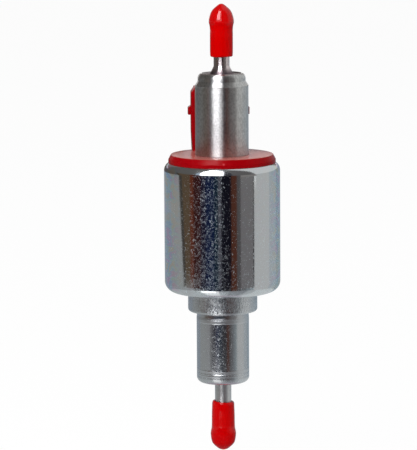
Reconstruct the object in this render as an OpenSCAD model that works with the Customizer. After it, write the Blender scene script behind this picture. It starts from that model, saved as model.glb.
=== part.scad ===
// Metering fuel pump for an engine bay heater: a solenoid plunger pump in a round steel can,
// with a hose spigot at each end and a two-blade plug socket beside the outlet barrel.
// The pump stands on +Z, outlet up. The origin is on its axis, halfway up the can's straight side.

/* [Magnet can] */
// Outside diameter of the can, which the holding clamp grips
can_d = 35; // [32:0.5:40]
// Wall of the can
can_wall = 1.5; // [1.2:0.1:1.9]
// Straight length of the can between its two rounded edges
can_straight = 33.6; // [30:0.2:40]
// Outside radius between the can's side and its bottom
can_bottom_r = 3.2; // [2.2:0.1:4]
// Outside radius of the can's rolled mouth
can_roll_r = 2.7; // [2.2:0.1:3.2]
// How far the rolled lip hooks inward past the can's bore
lip_hook = 0.5; // [0.3:0.05:0.7]

/* [Outlet barrel] */
// Outside diameter of the outlet barrel
barrel_d = 16.1; // [15:0.1:16.6]
// Height of the barrel above the red flange, to the foot of its necked end
barrel_rise = 20.8; // [16:0.2:26]
// Diameter of the necked end
neck_d = 14.4; // [13.8:0.1:14.8]
// Length of the cone that leads in to the neck
neck_cone = 1.4; // [1:0.1:2.5]
// Length of the neck above the cone, with its rolled rim
neck_length = 2.3; // [2.2:0.1:4]
// Height of the rolled rim
rim_h = 1.6; // [0.6:0.1:1.8]
// Width of the rolled rim
rim_w = 1.1; // [0.4:0.1:1.2]

/* [Inlet housing] */
// Outside diameter of the inlet housing
housing_d = 15.9; // [15:0.1:16.6]
// Length of the housing below the can's bottom
housing_drop = 28; // [26:0.2:34]
// Radius of the housing's lower edge
housing_r = 1.7; // [0.8:0.1:2.4]
// Bore shared by the housing, the barrel and the ring between them
tube_bore_d = 13.6; // [13:0.1:13.8]
// Diameter of the pole collar under the can
collar_d = 21; // [20:0.1:24]
// Height of the collar's outside band
collar_h = 6.1; // [4.5:0.1:8]
// Radius of the collar's lower edge
collar_r = 0.85; // [0.4:0.05:1.2]
// Width of the thin bead that seals the collar to the housing
bead_w = 0.35; // [0.2:0.05:0.5]
// Depth of the two rolled marks round the housing
mark_depth = 0.06; // [0.03:0.01:0.1]
// How far the housing narrows just under the collar
housing_neck = 0.2; // [0.05:0.05:0.35]

/* [Hose spigots] */
// Outside diameter of the outlet spigot
outlet_tube_d = 4.8; // [4.4:0.1:5.4]
// Outside diameter of the inlet spigot
inlet_tube_d = 5; // [4.6:0.1:5.6]
// Bore of both spigots
spigot_bore_d = 2.4; // [1.8:0.1:2.8]
// Diameter of the olive that holds a hose
olive_d = 5.8; // [5.7:0.05:6.4]
// Radius of the outlet spigot's flared foot
flare_r = 3.55; // [3:0.05:4]
// Height of the flared foot
flare_h = 2.5; // [1.5:0.1:3]
// Length of a spigot outside the pump
spigot_length = 18.6; // [17:0.2:22]
// Distance from the spigot's end to the middle of its olive
olive_from_end = 2.9; // [2:0.1:4]

/* [Transit caps] */
// Wall of the soft caps
cap_wall = 0.8; // [0.6:0.05:1]
// Depth of spigot that the outlet's cap covers
outlet_cap_cover = 13.2; // [11:0.2:14.6]
// Depth of spigot that the inlet's cap covers
inlet_cap_cover = 12.4; // [11:0.2:14.6]
// Length of the closed tip past the spigot's end
cap_tip = 2.4; // [2:0.1:3.5]

/* [Flange and plug socket] */
// Distance from the can's side in to the edge of the red flange
flange_inset = 1.3; // [1.2:0.05:2.2]
// Thickness of the flange above the can's lip
flange_t = 2.2; // [1.6:0.1:3.5]
// Height of the slope at the flange's upper edge
flange_slope_h = 1.5; // [0.8:0.1:1.6]
// Width of the slope at the flange's upper edge
flange_slope_w = 0.8; // [0.4:0.1:1.2]
// Width of the plug socket
socket_w = 17.1; // [16:0.1:18.4]
// Distance from the can's side in to the back of the plug socket
socket_inset = 1.1; // [0.5:0.1:1.5]
// Height of the socket above the flange
socket_h = 19.4; // [17:0.2:24]
// Side and outer walls of the socket
socket_wall = 1.3; // [1:0.1:1.5]
// Solid floor under the socket's cavity
socket_floor = 4; // [3:0.1:6]
// How far the socket narrows on each side at its foot
socket_waist = 0.35; // [0:0.05:0.6]
// Height of the latch nubs' flat underside above the flange
nub_z = 10.8; // [8:0.1:12]
// How far a latch nub stands out
nub_out = 0.8; // [0.5:0.05:1.2]
// Height of a latch nub with its slope
nub_h = 3.15; // [2:0.05:4]

/* [Blades] */
// Width of a blade
blade_w = 2.8; // [2.4:0.1:3.2]
// Thickness of a blade
blade_t = 0.8; // [0.6:0.05:1]
// Distance between the two blades' middles
blade_pitch = 6.4; // [5.8:0.1:7]
// Depth of the blades' tips below the socket's mouth
blade_recess = 4.6; // [4.4:0.1:6]

/* [Coil] */
// Wall of the bobbin's core
bobbin_wall = 0.9; // [0.7:0.05:1.4]
// How far the winding lies in from the edge of its bobbin
winding_inset = 1; // [0.8:0.1:2.6]
// Thickness of the bobbin's upper end
bobbin_top_t = 1.2; // [1:0.1:2]
// Thickness of the bobbin's lower end, which holds a seal
bobbin_bottom_t = 2.3; // [2.2:0.1:3]
// Thickness of the steel washer on the coil
yoke_t = 2.5; // [1.5:0.1:3]

/* [Plunger pump] */
// Working stroke of the armature and piston
stroke = 3.1; // [2:0.1:3.6]
// Diameter of the piston
piston_d = 4; // [3:0.1:4.4]
// Length of the armature
armature_length = 16.4; // [14:0.2:18]
// Outside diameter of the cylinder sleeve
cylinder_d = 6.4; // [6:0.1:7]
// Wire of the return spring
return_wire_d = 0.8; // [0.5:0.05:0.9]
// Turns of the return spring
return_turns = 6; // [4:0.5:8]
// Diameter of the valve ball
ball_d = 3.5; // [3:0.1:4]
// How far the valve ball lifts
ball_lift = 0.8; // [0.5:0.1:1.2]
// Wire of the valve spring
valve_wire_d = 0.35; // [0.25:0.05:0.45]
// Turns of the valve spring
valve_turns = 5; // [4:0.5:7]

/* [Seals] */
// Cord diameter of the large rings that seal the coil space
seal_cord_d = 1.5; // [1.2:0.05:1.6]
// Cord diameter of the small rings at the spigots and the valve
small_cord_d = 1.1; // [0.9:0.05:1.2]

/* [Hidden] */

$fn = 96;
eps = 0.01;

// Clearances
seat_gap = 0.03;      // between pieces that are pressed or stacked together
slip_gap = 0.1;       // between pieces that slide together when assembled
run_gap = 0.06;       // round the armature
piston_gap = 0.03;    // round the piston
cap_gap = 0.05;       // between a soft cap and its spigot
buffer_gap = 0.1;     // between the lifted armature and its buffer
live_gap = 0.5;       // between the blades and the steel washer

// Magnet can
can_r = can_d / 2;
can_bore_r = can_r - can_wall;
can_half = can_straight / 2;
can_bottom_z = -can_half - can_bottom_r;
can_floor_z = can_bottom_z + can_wall;
lip_r = can_bore_r - lip_hook;
roll_centre_r = can_r - can_roll_r;
roll_bore_r = can_roll_r - can_wall;
lip_top_z = can_half + sqrt(can_roll_r * can_roll_r - pow(lip_r - roll_centre_r, 2));

// Flange and barrel
flange_r = can_r - flange_inset;
flange_z = lip_top_z + seat_gap;
flange_top_z = flange_z + flange_t;
barrel_r = barrel_d / 2;
housing_tube_r = housing_d / 2;
tube_bore_r = tube_bore_d / 2;
cone_z = flange_top_z + barrel_rise;
neck_z = cone_z + neck_cone;
barrel_top_z = neck_z + neck_length;
barrel_wall = barrel_r - tube_bore_r;
neck_r = neck_d / 2;
neck_bore_r = neck_r - barrel_wall;
neck_face_drop = 0.2;          // the spigot's face lies this far below the barrel's rim
shoulder_drop = 0.4;           // the spigot's shoulder lies this far below the barrel's cone
spigot_shoulder_z = cone_z - shoulder_drop;

// Collar and inlet housing
collar_step = 0.9;             // from the collar's band in to the part that passes through the can
collar_top_r = collar_d / 2 - collar_step;
bead_h = 0.4;
mark_w = 0.3;
collar_bottom_z = can_bottom_z - collar_h;
housing_bottom_z = can_bottom_z - housing_drop;
housing_floor = 1.6;
housing_floor_z = housing_bottom_z + housing_floor;
upper_mark_drop = 1.9;         // below the collar
lower_mark_rise = 3.4;         // above the housing's bottom
upper_mark_z = collar_bottom_z - upper_mark_drop;
lower_mark_z = housing_bottom_z + lower_mark_rise;

// Coil space, from the can's floor up to the flange
coil_bore_r = max(barrel_r, housing_tube_r) + slip_gap;
bobbin_bottom_z = can_floor_z + seat_gap;
flange_key = 1.7;              // how deep the flange reaches into the can, down to the washer
yoke_top_z = can_half - flange_key;
yoke_z = yoke_top_z - yoke_t;
bobbin_top_z = yoke_z - seat_gap;
bobbin_clear = 0.4;            // between the bobbin and the can
bobbin_r = can_bore_r - bobbin_clear;
bobbin_core_r = coil_bore_r + bobbin_wall;
winding_r = bobbin_r - winding_inset;
winding_z0 = bobbin_bottom_z + bobbin_bottom_t + seat_gap;
winding_z1 = bobbin_top_z - bobbin_top_t - seat_gap;
sleeve_t = 0.3;
lead_d = 0.6;

// Plug socket
socket_clear = 0.55;           // between the barrel and the socket
socket_y0 = barrel_r + socket_clear;
socket_y1 = can_r - socket_inset;
socket_top_z = flange_top_z + socket_h;
socket_floor_z = flange_top_z + socket_floor;
socket_front_r = 0.6;
socket_back_r = 3.3;
socket_lead_h = 1.6;           // the slope that leads a plug on to the socket
socket_lead_w = 1.2;
waist_h = 6;
blade_y = (socket_y0 + socket_y1) / 2;
blade_tip_z = socket_top_z - blade_recess;
blade_tail_z = bobbin_top_z - bobbin_top_t / 2;
blade_nose = 0.8;
nub_ramp_h = nub_out + 0.2;
nub_w = 3;

// Magnetic gap, armature and pole
gap_length = 7;
gap_z0 = -3;
gap_z1 = gap_z0 + gap_length;
press_r = tube_bore_r - seat_gap;
pole_set_back = 0.6;            // from the barrel's end up to the pole
pole_z = gap_z1 + pole_set_back;
buffer_t = 0.5;
armature_top_z = pole_z - buffer_t - buffer_gap - stroke;
armature_bottom_z = armature_top_z - armature_length;
armature_r = tube_bore_r - run_gap;
flute_r = 0.9;
spring_room = 0.4;             // on either side of the return spring
cylinder_r = cylinder_d / 2;
return_mean_r = cylinder_r + spring_room + return_wire_d / 2;
spring_pocket_r = return_mean_r + return_wire_d / 2 + spring_room;
armature_pocket = 3;
armature_pocket_z = armature_top_z - armature_pocket;
pole_pocket = 4.6;
pole_pocket_z = pole_z + pole_pocket;
piston_r = piston_d / 2;
piston_hold = 10;              // depth of the piston in the armature
piston_z0 = armature_top_z - piston_hold;
piston_reach = 4.2;            // of the resting piston past the pole's pocket
piston_z1 = pole_pocket_z + piston_reach;
cylinder_set_back = 1.4;       // from the pole's face up to the cylinder sleeve
cylinder_z0 = pole_z + cylinder_set_back;
port_r = 0.5;
port_lead = 0.3;               // from the resting piston's top up to the ports
port_z = piston_z1 + port_lead + port_r;
channel_r = 0.7;
pump_room = 4;                 // above the piston at the end of its stroke
pole_top_z = piston_z1 + stroke + pump_room;

// Outlet valve, above the pole
seat_t = 3;
seat_z = pole_top_z + seat_gap;
seat_top_z = seat_z + seat_t;
seat_groove_z = seat_z + seat_t / 2;
ball_r = ball_d / 2;
seat_hole_r = 0.75 * ball_r;
ball_z = seat_top_z + sqrt(ball_r * ball_r - seat_hole_r * seat_hole_r) + seat_gap;
valve_mean_r = 0.7 * ball_r;
valve_wire_r = valve_wire_d / 2;
valve_reach = ball_r + valve_wire_r + seat_gap;
valve_spring_z0 = ball_z + sqrt(valve_reach * valve_reach - valve_mean_r * valve_mean_r) - valve_wire_r;
valve_spring_length = valve_wire_d * (valve_turns + 2) + 2 * ball_lift;
cage_roof_z = valve_spring_z0 + valve_spring_length + seat_gap;
cage_roof_t = 1.5;
cage_room = 0.35;              // round the ball
cage_bore_r = ball_r + cage_room;
cage_wall = 0.9;
cage_r = cage_bore_r + cage_wall;
cage_window_r = 1;

// Outlet spigot and damper
spigot_flange_t = 3.2;
spigot_flange_z = spigot_shoulder_z - spigot_flange_t;
spigot_groove_z = spigot_flange_z + spigot_flange_t / 2;
spigot_face_z = barrel_top_z - neck_face_drop;
outlet_end_z = spigot_face_z + spigot_length;
inlet_end_z = housing_bottom_z - spigot_length;
damper_z0 = cage_roof_z + cage_roof_t + seat_gap;
damper_z1 = spigot_flange_z - seat_gap;
damper_bore_r = 3;
olive_r = olive_d / 2;
tube_bevel = 0.4;
groove_half = small_cord_d / 2 + seat_gap;

// Inlet side
rest_buffer_t = 0.6;
buffer_in = 0.2;               // between a buffer's bore and the bore beside it
buffer_clear = 0.4;            // between a buffer and the bore round it
buffer_r = tube_bore_r - buffer_clear;
stop_z1 = armature_bottom_z - rest_buffer_t - seat_gap;
stop_t = 5;
stop_z0 = stop_z1 - stop_t;
stop_bore_r = 2.5;
stop_hole_r = 0.8;
stop_hole_at = (stop_bore_r + press_r) / 2;
filter_ring_t = 2;
filter_r = 4.8;
filter_z1 = stop_z0 - seat_gap;
filter_foot = 4.4;             // room between the filter and the housing's floor
filter_z0 = housing_floor_z + filter_foot;
filter_end_t = 1;
mesh_inset = 0.6;              // from the filter's edge in to its mesh
mesh_r = filter_r - mesh_inset;
mesh_t = 0.2;
rib_w = 1;
inlet_flange_t = 1.8;
inlet_flange_r = 5.4;

// Soft caps
cap_end_room = 0.5;            // inside the tip, past the spigot's end
cap_thinning = 0.05;           // how much thinner the wall is where it stretches over the olive
cap_body_r = max(outlet_tube_d, inlet_tube_d) / 2 + cap_gap + cap_wall;
flare_power = 1.2;
// Two powers that shape the dome of a cap: a higher first one makes it blunter
outlet_dome = [2, 0.75];
inlet_dome = [3, 0.85];

// Points on an arc about [r, z]
function arc(r, z, radius, a0, a1, n = 8) =
    [for (i = [0 : n]) let (a = a0 + (a1 - a0) * i / n) [r + radius * cos(a), z + radius * sin(a)]];

// A smooth curve through the given points, with n steps between each pair
function catmull(a, b, c, d, t) =
    0.5 * (2 * b + (c - a) * t + (2 * a - 5 * b + 4 * c - d) * t * t + (3 * b - a - 3 * c + d) * t * t * t);
function smooth(points, n = 4) =
    let (last = len(points) - 1)
    concat([for (i = [0 : last - 1], k = [0 : n - 1])
        catmull(points[max(i - 1, 0)], points[i], points[i + 1], points[min(i + 2, last)], k / n)],
        [points[last]]);

// A plain ring about the Z axis
module ring(r_in, r_out, z0, z1) {
    rotate_extrude()
        translate([r_in, z0])
            square([r_out - r_in, z1 - z0]);
}

// Copies children evenly about the Z axis
module around(count, first = 0) {
    for (i = [0 : count - 1])
        rotate([0, 0, first + i * 360 / count])
            children();
}

// A rubber ring of the given cord, its inside resting on radius r
module o_ring(r, cord_d, z) {
    rotate_extrude()
        translate([r + cord_d / 2, z])
            circle(d = cord_d, $fn = 24);
}

// A half outline in the r-z plane: a block whose outer corners are rounded
module half_block(r_in, r_out, z0, z1, low_r, high_r = 0) {
    translate([r_in, z0 + low_r])
        square([r_out - r_in, z1 - z0 - low_r - high_r]);
    if (low_r > 0) {
        translate([r_in, z0])
            square([r_out - low_r - r_in, low_r + eps]);
        translate([r_out - low_r, z0 + low_r])
            circle(r = low_r);
    }
    if (high_r > 0) {
        translate([r_in, z1 - high_r - eps])
            square([r_out - high_r - r_in, high_r + eps]);
        translate([r_out - high_r, z1 - high_r])
            circle(r = high_r);
    }
}

// An unbroken coil of round wire between two heights, its end turns wound closer
coil_steps = 16;
coil_sides = 6;
function coil_height(t, turns, tight) =
    t < 1 ? tight * t
    : t > turns - 1 ? 1 - tight * (turns - t)
    : tight + (1 - 2 * tight) * (t - 1) / (turns - 2);
module wire_coil(mean_r, wire_d, turns, z0, z1) {
    steps = turns * coil_steps;
    length = z1 - z0 - wire_d;
    tight = 1.25 * wire_d / length;
    points = [for (i = [0 : steps], k = [0 : coil_sides - 1])
        let (turn = i / coil_steps, a = 360 * turn, b = 360 * k / coil_sides,
             r = mean_r + wire_d / 2 * cos(b),
             z = z0 + wire_d / 2 + length * coil_height(turn, turns, tight) + wire_d / 2 * sin(b))
        [r * cos(a), r * sin(a), z]];
    sides = [for (i = [0 : steps - 1], k = [0 : coil_sides - 1])
        let (n = (k + 1) % coil_sides, a = i * coil_sides, b = a + coil_sides)
        each [[a + k, a + n, b + k], [a + n, b + n, b + k]]];
    first = [for (k = [1 : coil_sides - 2]) [0, k + 1, k]];
    top = steps * coil_sides;
    last = [for (k = [1 : coil_sides - 2]) [top, top + k, top + k + 1]];
    polyhedron(points, concat(sides, first, last), convexity = 8);
}

module magnet_can() {
    color("gainsboro")
        difference() {
            rotate_extrude()
                difference() {
                    union() {
                        half_block(0, can_r, can_bottom_z, can_half, can_bottom_r);
                        translate([0, can_half - eps])
                            square([roll_centre_r, lip_top_z - can_half + eps]);
                        intersection() {
                            translate([roll_centre_r, can_half])
                                circle(r = can_roll_r);
                            translate([0, can_half - 1])
                                square([can_r, lip_top_z - can_half + 1]);
                        }
                    }
                    half_block(0, can_bore_r, can_floor_z, can_half, can_bottom_r - can_wall);
                    translate([0, can_half - eps])
                        square([roll_centre_r, can_roll_r + 1]);
                    translate([roll_centre_r, can_half])
                        circle(r = roll_bore_r);
                    translate([0, can_half])
                        square([lip_r, can_roll_r + 1]);
                }
            translate([0, 0, can_bottom_z - 1])
                cylinder(r = collar_top_r + seat_gap, h = can_wall + 2);
        }
}

module pole_collar() {
    color("silver")
        rotate_extrude()
            difference() {
                union() {
                    half_block(0, collar_d / 2, collar_bottom_z, can_bottom_z - seat_gap, collar_r);
                    translate([0, can_bottom_z - 1])
                        square([collar_top_r, can_wall + 1]);
                    translate([0, collar_bottom_z - bead_h])
                        square([housing_tube_r + bead_w, bead_h + 1]);
                }
                translate([0, collar_bottom_z - 1])
                    square([housing_tube_r + seat_gap, collar_h + can_wall + 2]);
            }
}

module inlet_housing() {
    color("silver")
        difference() {
            rotate_extrude()
                difference() {
                    half_block(0, housing_tube_r, housing_bottom_z, gap_z0, housing_r);
                    half_block(0, tube_bore_r, housing_floor_z, gap_z0 + 1, housing_r / 2);
                    for (z = [upper_mark_z, lower_mark_z])
                        polygon([[housing_tube_r + eps, z + mark_w / 2], [housing_tube_r - mark_depth, z],
                                 [housing_tube_r + eps, z - mark_w / 2]]);
                    polygon([[housing_tube_r + eps, upper_mark_z],
                             [housing_tube_r - housing_neck, collar_bottom_z - bead_h],
                             [housing_tube_r + eps, collar_bottom_z]]);
                }
            translate([0, 0, housing_bottom_z - 1])
                cylinder(d = inlet_tube_d + 2 * seat_gap, h = housing_floor + 2);
        }
}

// A spigot's tube, drawn pointing up from z, with its olive and its bevelled end
module spigot_tube(d, z) {
    end_z = z + spigot_length;
    translate([0, 0, z - eps])
        cylinder(d = d, h = spigot_length - tube_bevel + eps);
    translate([0, 0, end_z - tube_bevel])
        cylinder(r1 = d / 2, r2 = d / 2 - tube_bevel, h = tube_bevel);
    translate([0, 0, end_z - olive_from_end])
        sphere(r = olive_r);
}

module inlet_spigot() {
    flange_z0 = housing_floor_z + seat_gap;
    color("silver")
        difference() {
            union() {
                mirror([0, 0, 1])
                    spigot_tube(inlet_tube_d, -housing_bottom_z);
                translate([0, 0, housing_bottom_z - eps])
                    cylinder(d = inlet_tube_d, h = flange_z0 - housing_bottom_z + 2 * eps);
                translate([0, 0, flange_z0])
                    cylinder(r = inlet_flange_r, h = inlet_flange_t);
            }
            translate([0, 0, inlet_end_z - 1])
                cylinder(d = spigot_bore_d, h = flange_z0 + inlet_flange_t - inlet_end_z + 2);
            ring(inlet_tube_d / 2, inlet_tube_d / 2 + small_cord_d + 2 * seat_gap,
                 flange_z0 - 1, housing_floor_z + 2 * groove_half);
        }
}

// The concave flare at the foot of the outlet spigot
function flare_points(n = 6) =
    let (tube_r = outlet_tube_d / 2, w = flare_r - tube_r)
    [for (i = [0 : n])
        [tube_r + w * pow(1 - i / n, flare_power), spigot_face_z + flare_h * i / n]];

module outlet_spigot() {
    color("silver")
        difference() {
            union() {
                spigot_tube(outlet_tube_d, spigot_face_z);
                rotate_extrude()
                    polygon(concat([[0, spigot_face_z - 1], [flare_r, spigot_face_z - 1]], flare_points(),
                                   [[0, spigot_face_z + flare_h]]));
                translate([0, 0, spigot_flange_z])
                    cylinder(r = neck_bore_r - seat_gap, h = spigot_face_z - spigot_flange_z);
                translate([0, 0, spigot_flange_z])
                    cylinder(r = press_r, h = spigot_flange_t);
            }
            translate([0, 0, spigot_flange_z - 1])
                cylinder(d = spigot_bore_d, h = outlet_end_z - spigot_flange_z + 2);
            ring(press_r - small_cord_d, press_r + 1,
                 spigot_groove_z - groove_half, spigot_groove_z + groove_half);
        }
}

// The outline of a cap's dome from the olive to the tip
function dome_points(r, z, height, powers, n = 12) =
    [for (i = [0 : n]) let (t = sin(90 * i / n))
        [max(eps, r * pow(max(0, 1 - pow(t, powers[0])), powers[1])), z + height * t]];

// A soft cap, drawn pointing up on a spigot that starts at z and stretched over its olive
module soft_cap(d, z, cover, dome) {
    end_z = z + spigot_length;
    open_z = end_z - cover;
    olive_z = end_z - olive_from_end;
    tip_z = end_z + cap_tip;
    bore_r = d / 2 + cap_gap;
    rim = cap_wall / 2;
    olive_bore_r = olive_r + cap_gap;
    swell_r = olive_bore_r + cap_wall - cap_thinning;
    reach = acos(bore_r / olive_bore_r);
    waist = smooth([[cap_body_r, open_z + rim], [cap_body_r, olive_z - 0.75 * olive_r],
                    [(cap_body_r + swell_r) / 2, olive_z - 0.37 * olive_r], [swell_r, olive_z]]);
    outside = concat([for (i = [0 : len(waist) - 2]) waist[i]],
                     dome_points(swell_r, olive_z, tip_z - olive_z, dome));
    inside = concat([[bore_r, open_z]], arc(0, olive_z, olive_bore_r, -reach, reach),
                    [[bore_r, end_z - tube_bevel], [bore_r - tube_bevel, end_z + cap_gap],
                     [0, end_z + cap_end_room]]);
    rotate_extrude()
        difference() {
            union() {
                polygon(concat([[0, open_z + rim]], outside, [[0, tip_z]]));
                translate([cap_body_r - rim, open_z + rim])
                    circle(r = rim, $fn = 24);
                translate([0, open_z])
                    square([cap_body_r - rim, cap_wall]);
            }
            polygon(concat([[0, open_z - 1], [bore_r, open_z - 1]], inside));
        }
}

module outlet_cap() {
    color("red")
        soft_cap(outlet_tube_d, spigot_face_z, outlet_cap_cover, outlet_dome);
}

module inlet_cap() {
    color("red")
        mirror([0, 0, 1])
            soft_cap(inlet_tube_d, -housing_bottom_z, inlet_cap_cover, inlet_dome);
}

// The barrel is rolled in at the top over the spigot's shoulder
module outlet_barrel() {
    color("gainsboro")
        rotate_extrude()
            difference() {
                polygon(concat([[0, gap_z1], [barrel_r, gap_z1], [barrel_r, cone_z], [neck_r, neck_z]],
                               [for (a = [0 : 15 : 90])
                                   [neck_r - rim_w * (1 - cos(a)), barrel_top_z - rim_h * (1 - sin(a))]],
                               [[0, barrel_top_z]]));
                polygon([[-1, gap_z1 - 1], [tube_bore_r, gap_z1 - 1],
                         [tube_bore_r, spigot_shoulder_z + slip_gap],
                         [neck_bore_r, spigot_shoulder_z + slip_gap + neck_cone / 2],
                         [neck_bore_r, barrel_top_z + 1], [-1, barrel_top_z + 1]]);
            }
}

// The footprint of the socket seen from above, drawn in by inset
module socket_plan(inset = 0) {
    half = socket_w / 2 - inset;
    y0 = socket_y0 + inset;
    y1 = socket_y1 - inset;
    front = max(socket_front_r - inset, 0.3);
    back = max(socket_back_r - inset, 0.3);
    translate([-half, y0 + front])
        square([2 * half, y1 - y0 - front - back]);
    translate([-half + front, y0])
        square([2 * (half - front), front + eps]);
    translate([-half + back, y1 - back - eps])
        square([2 * (half - back), back + eps]);
    for (side = [-1, 1]) {
        translate([side * (half - front), y0 + front])
            circle(r = front);
        translate([side * (half - back), y1 - back])
            circle(r = back);
    }
}

// The socket seen from the front: a slope at its mouth and a waist at its foot
module socket_sides() {
    half = socket_w / 2;
    edge = [[half - socket_waist, flange_top_z - 1], [half - socket_waist, flange_top_z],
            [half, flange_top_z + waist_h], [half, socket_top_z - socket_lead_h],
            [half - socket_lead_w, socket_top_z]];
    other = [for (i = [len(edge) - 1 : -1 : 0]) [-edge[i][0], edge[i][1]]];
    translate([0, socket_y1 + 1, 0])
        rotate([90, 0, 0])
            linear_extrude(socket_y1 - socket_y0 + 2)
                polygon(concat(edge, other));
}

// A latch nub on the socket's +X side: a slope above, a flat catch below
module latch_nub() {
    z = flange_top_z + nub_z;
    root = socket_w / 2 - socket_wall / 2;
    tip = socket_w / 2 + nub_out;
    translate([0, blade_y + nub_w / 2, 0])
        rotate([90, 0, 0])
            linear_extrude(nub_w)
                polygon([[root, z], [tip, z], [tip, z + nub_h - nub_ramp_h], [root, z + nub_h]]);
}

// Two blades' worth of room between z0 and z1, wider than the blades by clear all round
module blade_slots(z0, z1, clear) {
    for (side = [-1, 1])
        translate([side * blade_pitch / 2 - blade_t / 2 - clear, blade_y - blade_w / 2 - clear, z0])
            cube([blade_t + 2 * clear, blade_w + 2 * clear, z1 - z0]);
}

// The red moulding is one piece: a disc keyed under the can's rolled lip, with the socket on it
module connector_flange() {
    lip_a = acos((lip_r - roll_centre_r) / (can_roll_r + seat_gap));
    rim_a = acos((flange_r - roll_centre_r) / (can_roll_r + seat_gap));
    key_r = can_bore_r - slip_gap;
    throat_r = lip_r - slip_gap;
    color("red")
        difference() {
            union() {
                rotate_extrude()
                    polygon(concat([[coil_bore_r, yoke_top_z + seat_gap], [key_r, yoke_top_z + seat_gap],
                                    [key_r, can_half - slip_gap],
                                    [throat_r, can_half + roll_bore_r - 2 * slip_gap], [throat_r, flange_z]],
                                   arc(roll_centre_r, can_half, can_roll_r + seat_gap, lip_a, rim_a, 4),
                                   [[flange_r, flange_top_z - flange_slope_h],
                                    [flange_r - flange_slope_w, flange_top_z], [coil_bore_r, flange_top_z]]));
                intersection() {
                    translate([0, 0, flange_top_z - 1])
                        linear_extrude(socket_h + 1)
                            socket_plan();
                    socket_sides();
                }
                latch_nub();
                mirror([1, 0, 0])
                    latch_nub();
            }
            translate([0, 0, socket_floor_z])
                linear_extrude(socket_h)
                    socket_plan(socket_wall);
            ring(coil_bore_r - 1, barrel_r + seal_cord_d + 4 * seat_gap,
                 flange_z - seal_cord_d - 4 * seat_gap, flange_z);
            blade_slots(yoke_top_z - 1, socket_floor_z + 1, seat_gap);
        }
}

module terminal_blades() {
    half = blade_w / 2;
    color("tan")
        for (side = [-1, 1])
            translate([side * blade_pitch / 2, blade_y, 0])
                rotate([90, 0, 90])
                    linear_extrude(blade_t, center = true)
                        polygon([[-half, blade_tail_z], [half, blade_tail_z], [half, blade_tip_z - blade_nose],
                                 [half - blade_nose, blade_tip_z], [blade_nose - half, blade_tip_z],
                                 [-half, blade_tip_z - blade_nose]]);
}

module gap_ring() {
    color("goldenrod")
        ring(tube_bore_r, min(barrel_r, housing_tube_r), gap_z0 + seat_gap, gap_z1 - seat_gap);
}

module coil_bobbin() {
    color("black")
        difference() {
            union() {
                ring(coil_bore_r, bobbin_core_r, bobbin_bottom_z, bobbin_top_z);
                rotate_extrude()
                    intersection() {
                        half_block(coil_bore_r, bobbin_r, bobbin_bottom_z, bobbin_top_z, can_bottom_r - can_wall);
                        translate([coil_bore_r, bobbin_bottom_z])
                            square([bobbin_r - coil_bore_r, bobbin_bottom_t]);
                    }
                ring(coil_bore_r, bobbin_r, bobbin_top_z - bobbin_top_t, bobbin_top_z);
            }
            ring(coil_bore_r - 1, housing_tube_r + seal_cord_d + 4 * seat_gap, bobbin_bottom_z - 1,
                 can_floor_z + seal_cord_d + 4 * seat_gap);
            blade_slots(blade_tail_z - seat_gap, bobbin_top_z + 1, seat_gap);
            wire_leads(winding_z1 - 1, bobbin_top_z, seat_gap);
        }
}

// The two ends of the winding, which run up to the blades
module wire_leads(z0, z1, clear = 0) {
    for (side = [-1, 1])
        translate([side * blade_pitch / 2, blade_y, z0])
            cylinder(d = lead_d + 2 * clear, h = z1 - z0, $fn = 24);
}

module coil_winding() {
    color("chocolate") {
        ring(bobbin_core_r + seat_gap, winding_r, winding_z0, winding_z1);
        wire_leads(winding_z1 - eps, blade_tail_z);
    }
}

module winding_sleeve() {
    color("khaki")
        ring(winding_r + seat_gap, winding_r + sleeve_t, winding_z0, winding_z1);
}

module yoke_washer() {
    color("gray")
        difference() {
            ring(coil_bore_r, can_bore_r - seat_gap, yoke_z, yoke_top_z);
            blade_slots(yoke_z - 1, yoke_top_z + 1, live_gap);
        }
}

module pole_core() {
    color("lightsteelblue")
        difference() {
            translate([0, 0, pole_z])
                cylinder(r = press_r, h = pole_top_z - pole_z);
            translate([0, 0, pole_z - 1])
                cylinder(r = spring_pocket_r, h = pole_pocket + 1);
            translate([0, 0, pole_z])
                cylinder(r = cylinder_r + seat_gap, h = pole_top_z - pole_z + 1);
            around(3)
                translate([cylinder_r + channel_r / 2, 0, pole_pocket_z - 1])
                    cylinder(r = channel_r, h = port_z + 2 * port_r - pole_pocket_z + 1, $fn = 24);
        }
}

module cylinder_sleeve() {
    color("lightgray")
        difference() {
            ring(piston_r + piston_gap, cylinder_r, cylinder_z0, pole_top_z);
            around(3)
                translate([0, 0, port_z])
                    rotate([0, 90, 0])
                        cylinder(r = port_r, h = cylinder_d, $fn = 24);
        }
}

module piston() {
    color("whitesmoke")
        translate([0, 0, piston_z0])
            cylinder(r = piston_r, h = piston_z1 - piston_z0);
}

module armature() {
    color("slategray")
        difference() {
            translate([0, 0, armature_bottom_z])
                cylinder(r = armature_r, h = armature_length);
            translate([0, 0, armature_pocket_z])
                cylinder(r = spring_pocket_r, h = armature_pocket + 1);
            translate([0, 0, piston_z0])
                cylinder(r = piston_r + seat_gap, h = armature_length);
            translate([0, 0, armature_bottom_z - 1])
                cylinder(r = piston_r / 2, h = armature_length);
            around(4, 45)
                translate([armature_r, 0, armature_bottom_z - 1])
                    cylinder(r = flute_r, h = armature_length + 2, $fn = 24);
        }
}

module return_spring() {
    color("silver")
        wire_coil(return_mean_r, return_wire_d, return_turns, armature_pocket_z + seat_gap,
                  pole_pocket_z - seat_gap);
}

module rest_buffer() {
    color("dimgray")
        ring(stop_bore_r + buffer_in, buffer_r, stop_z1, armature_bottom_z - seat_gap);
}

module stroke_buffer() {
    color("dimgray")
        ring(spring_pocket_r + buffer_in, buffer_r, pole_z - buffer_t, pole_z);
}

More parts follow.
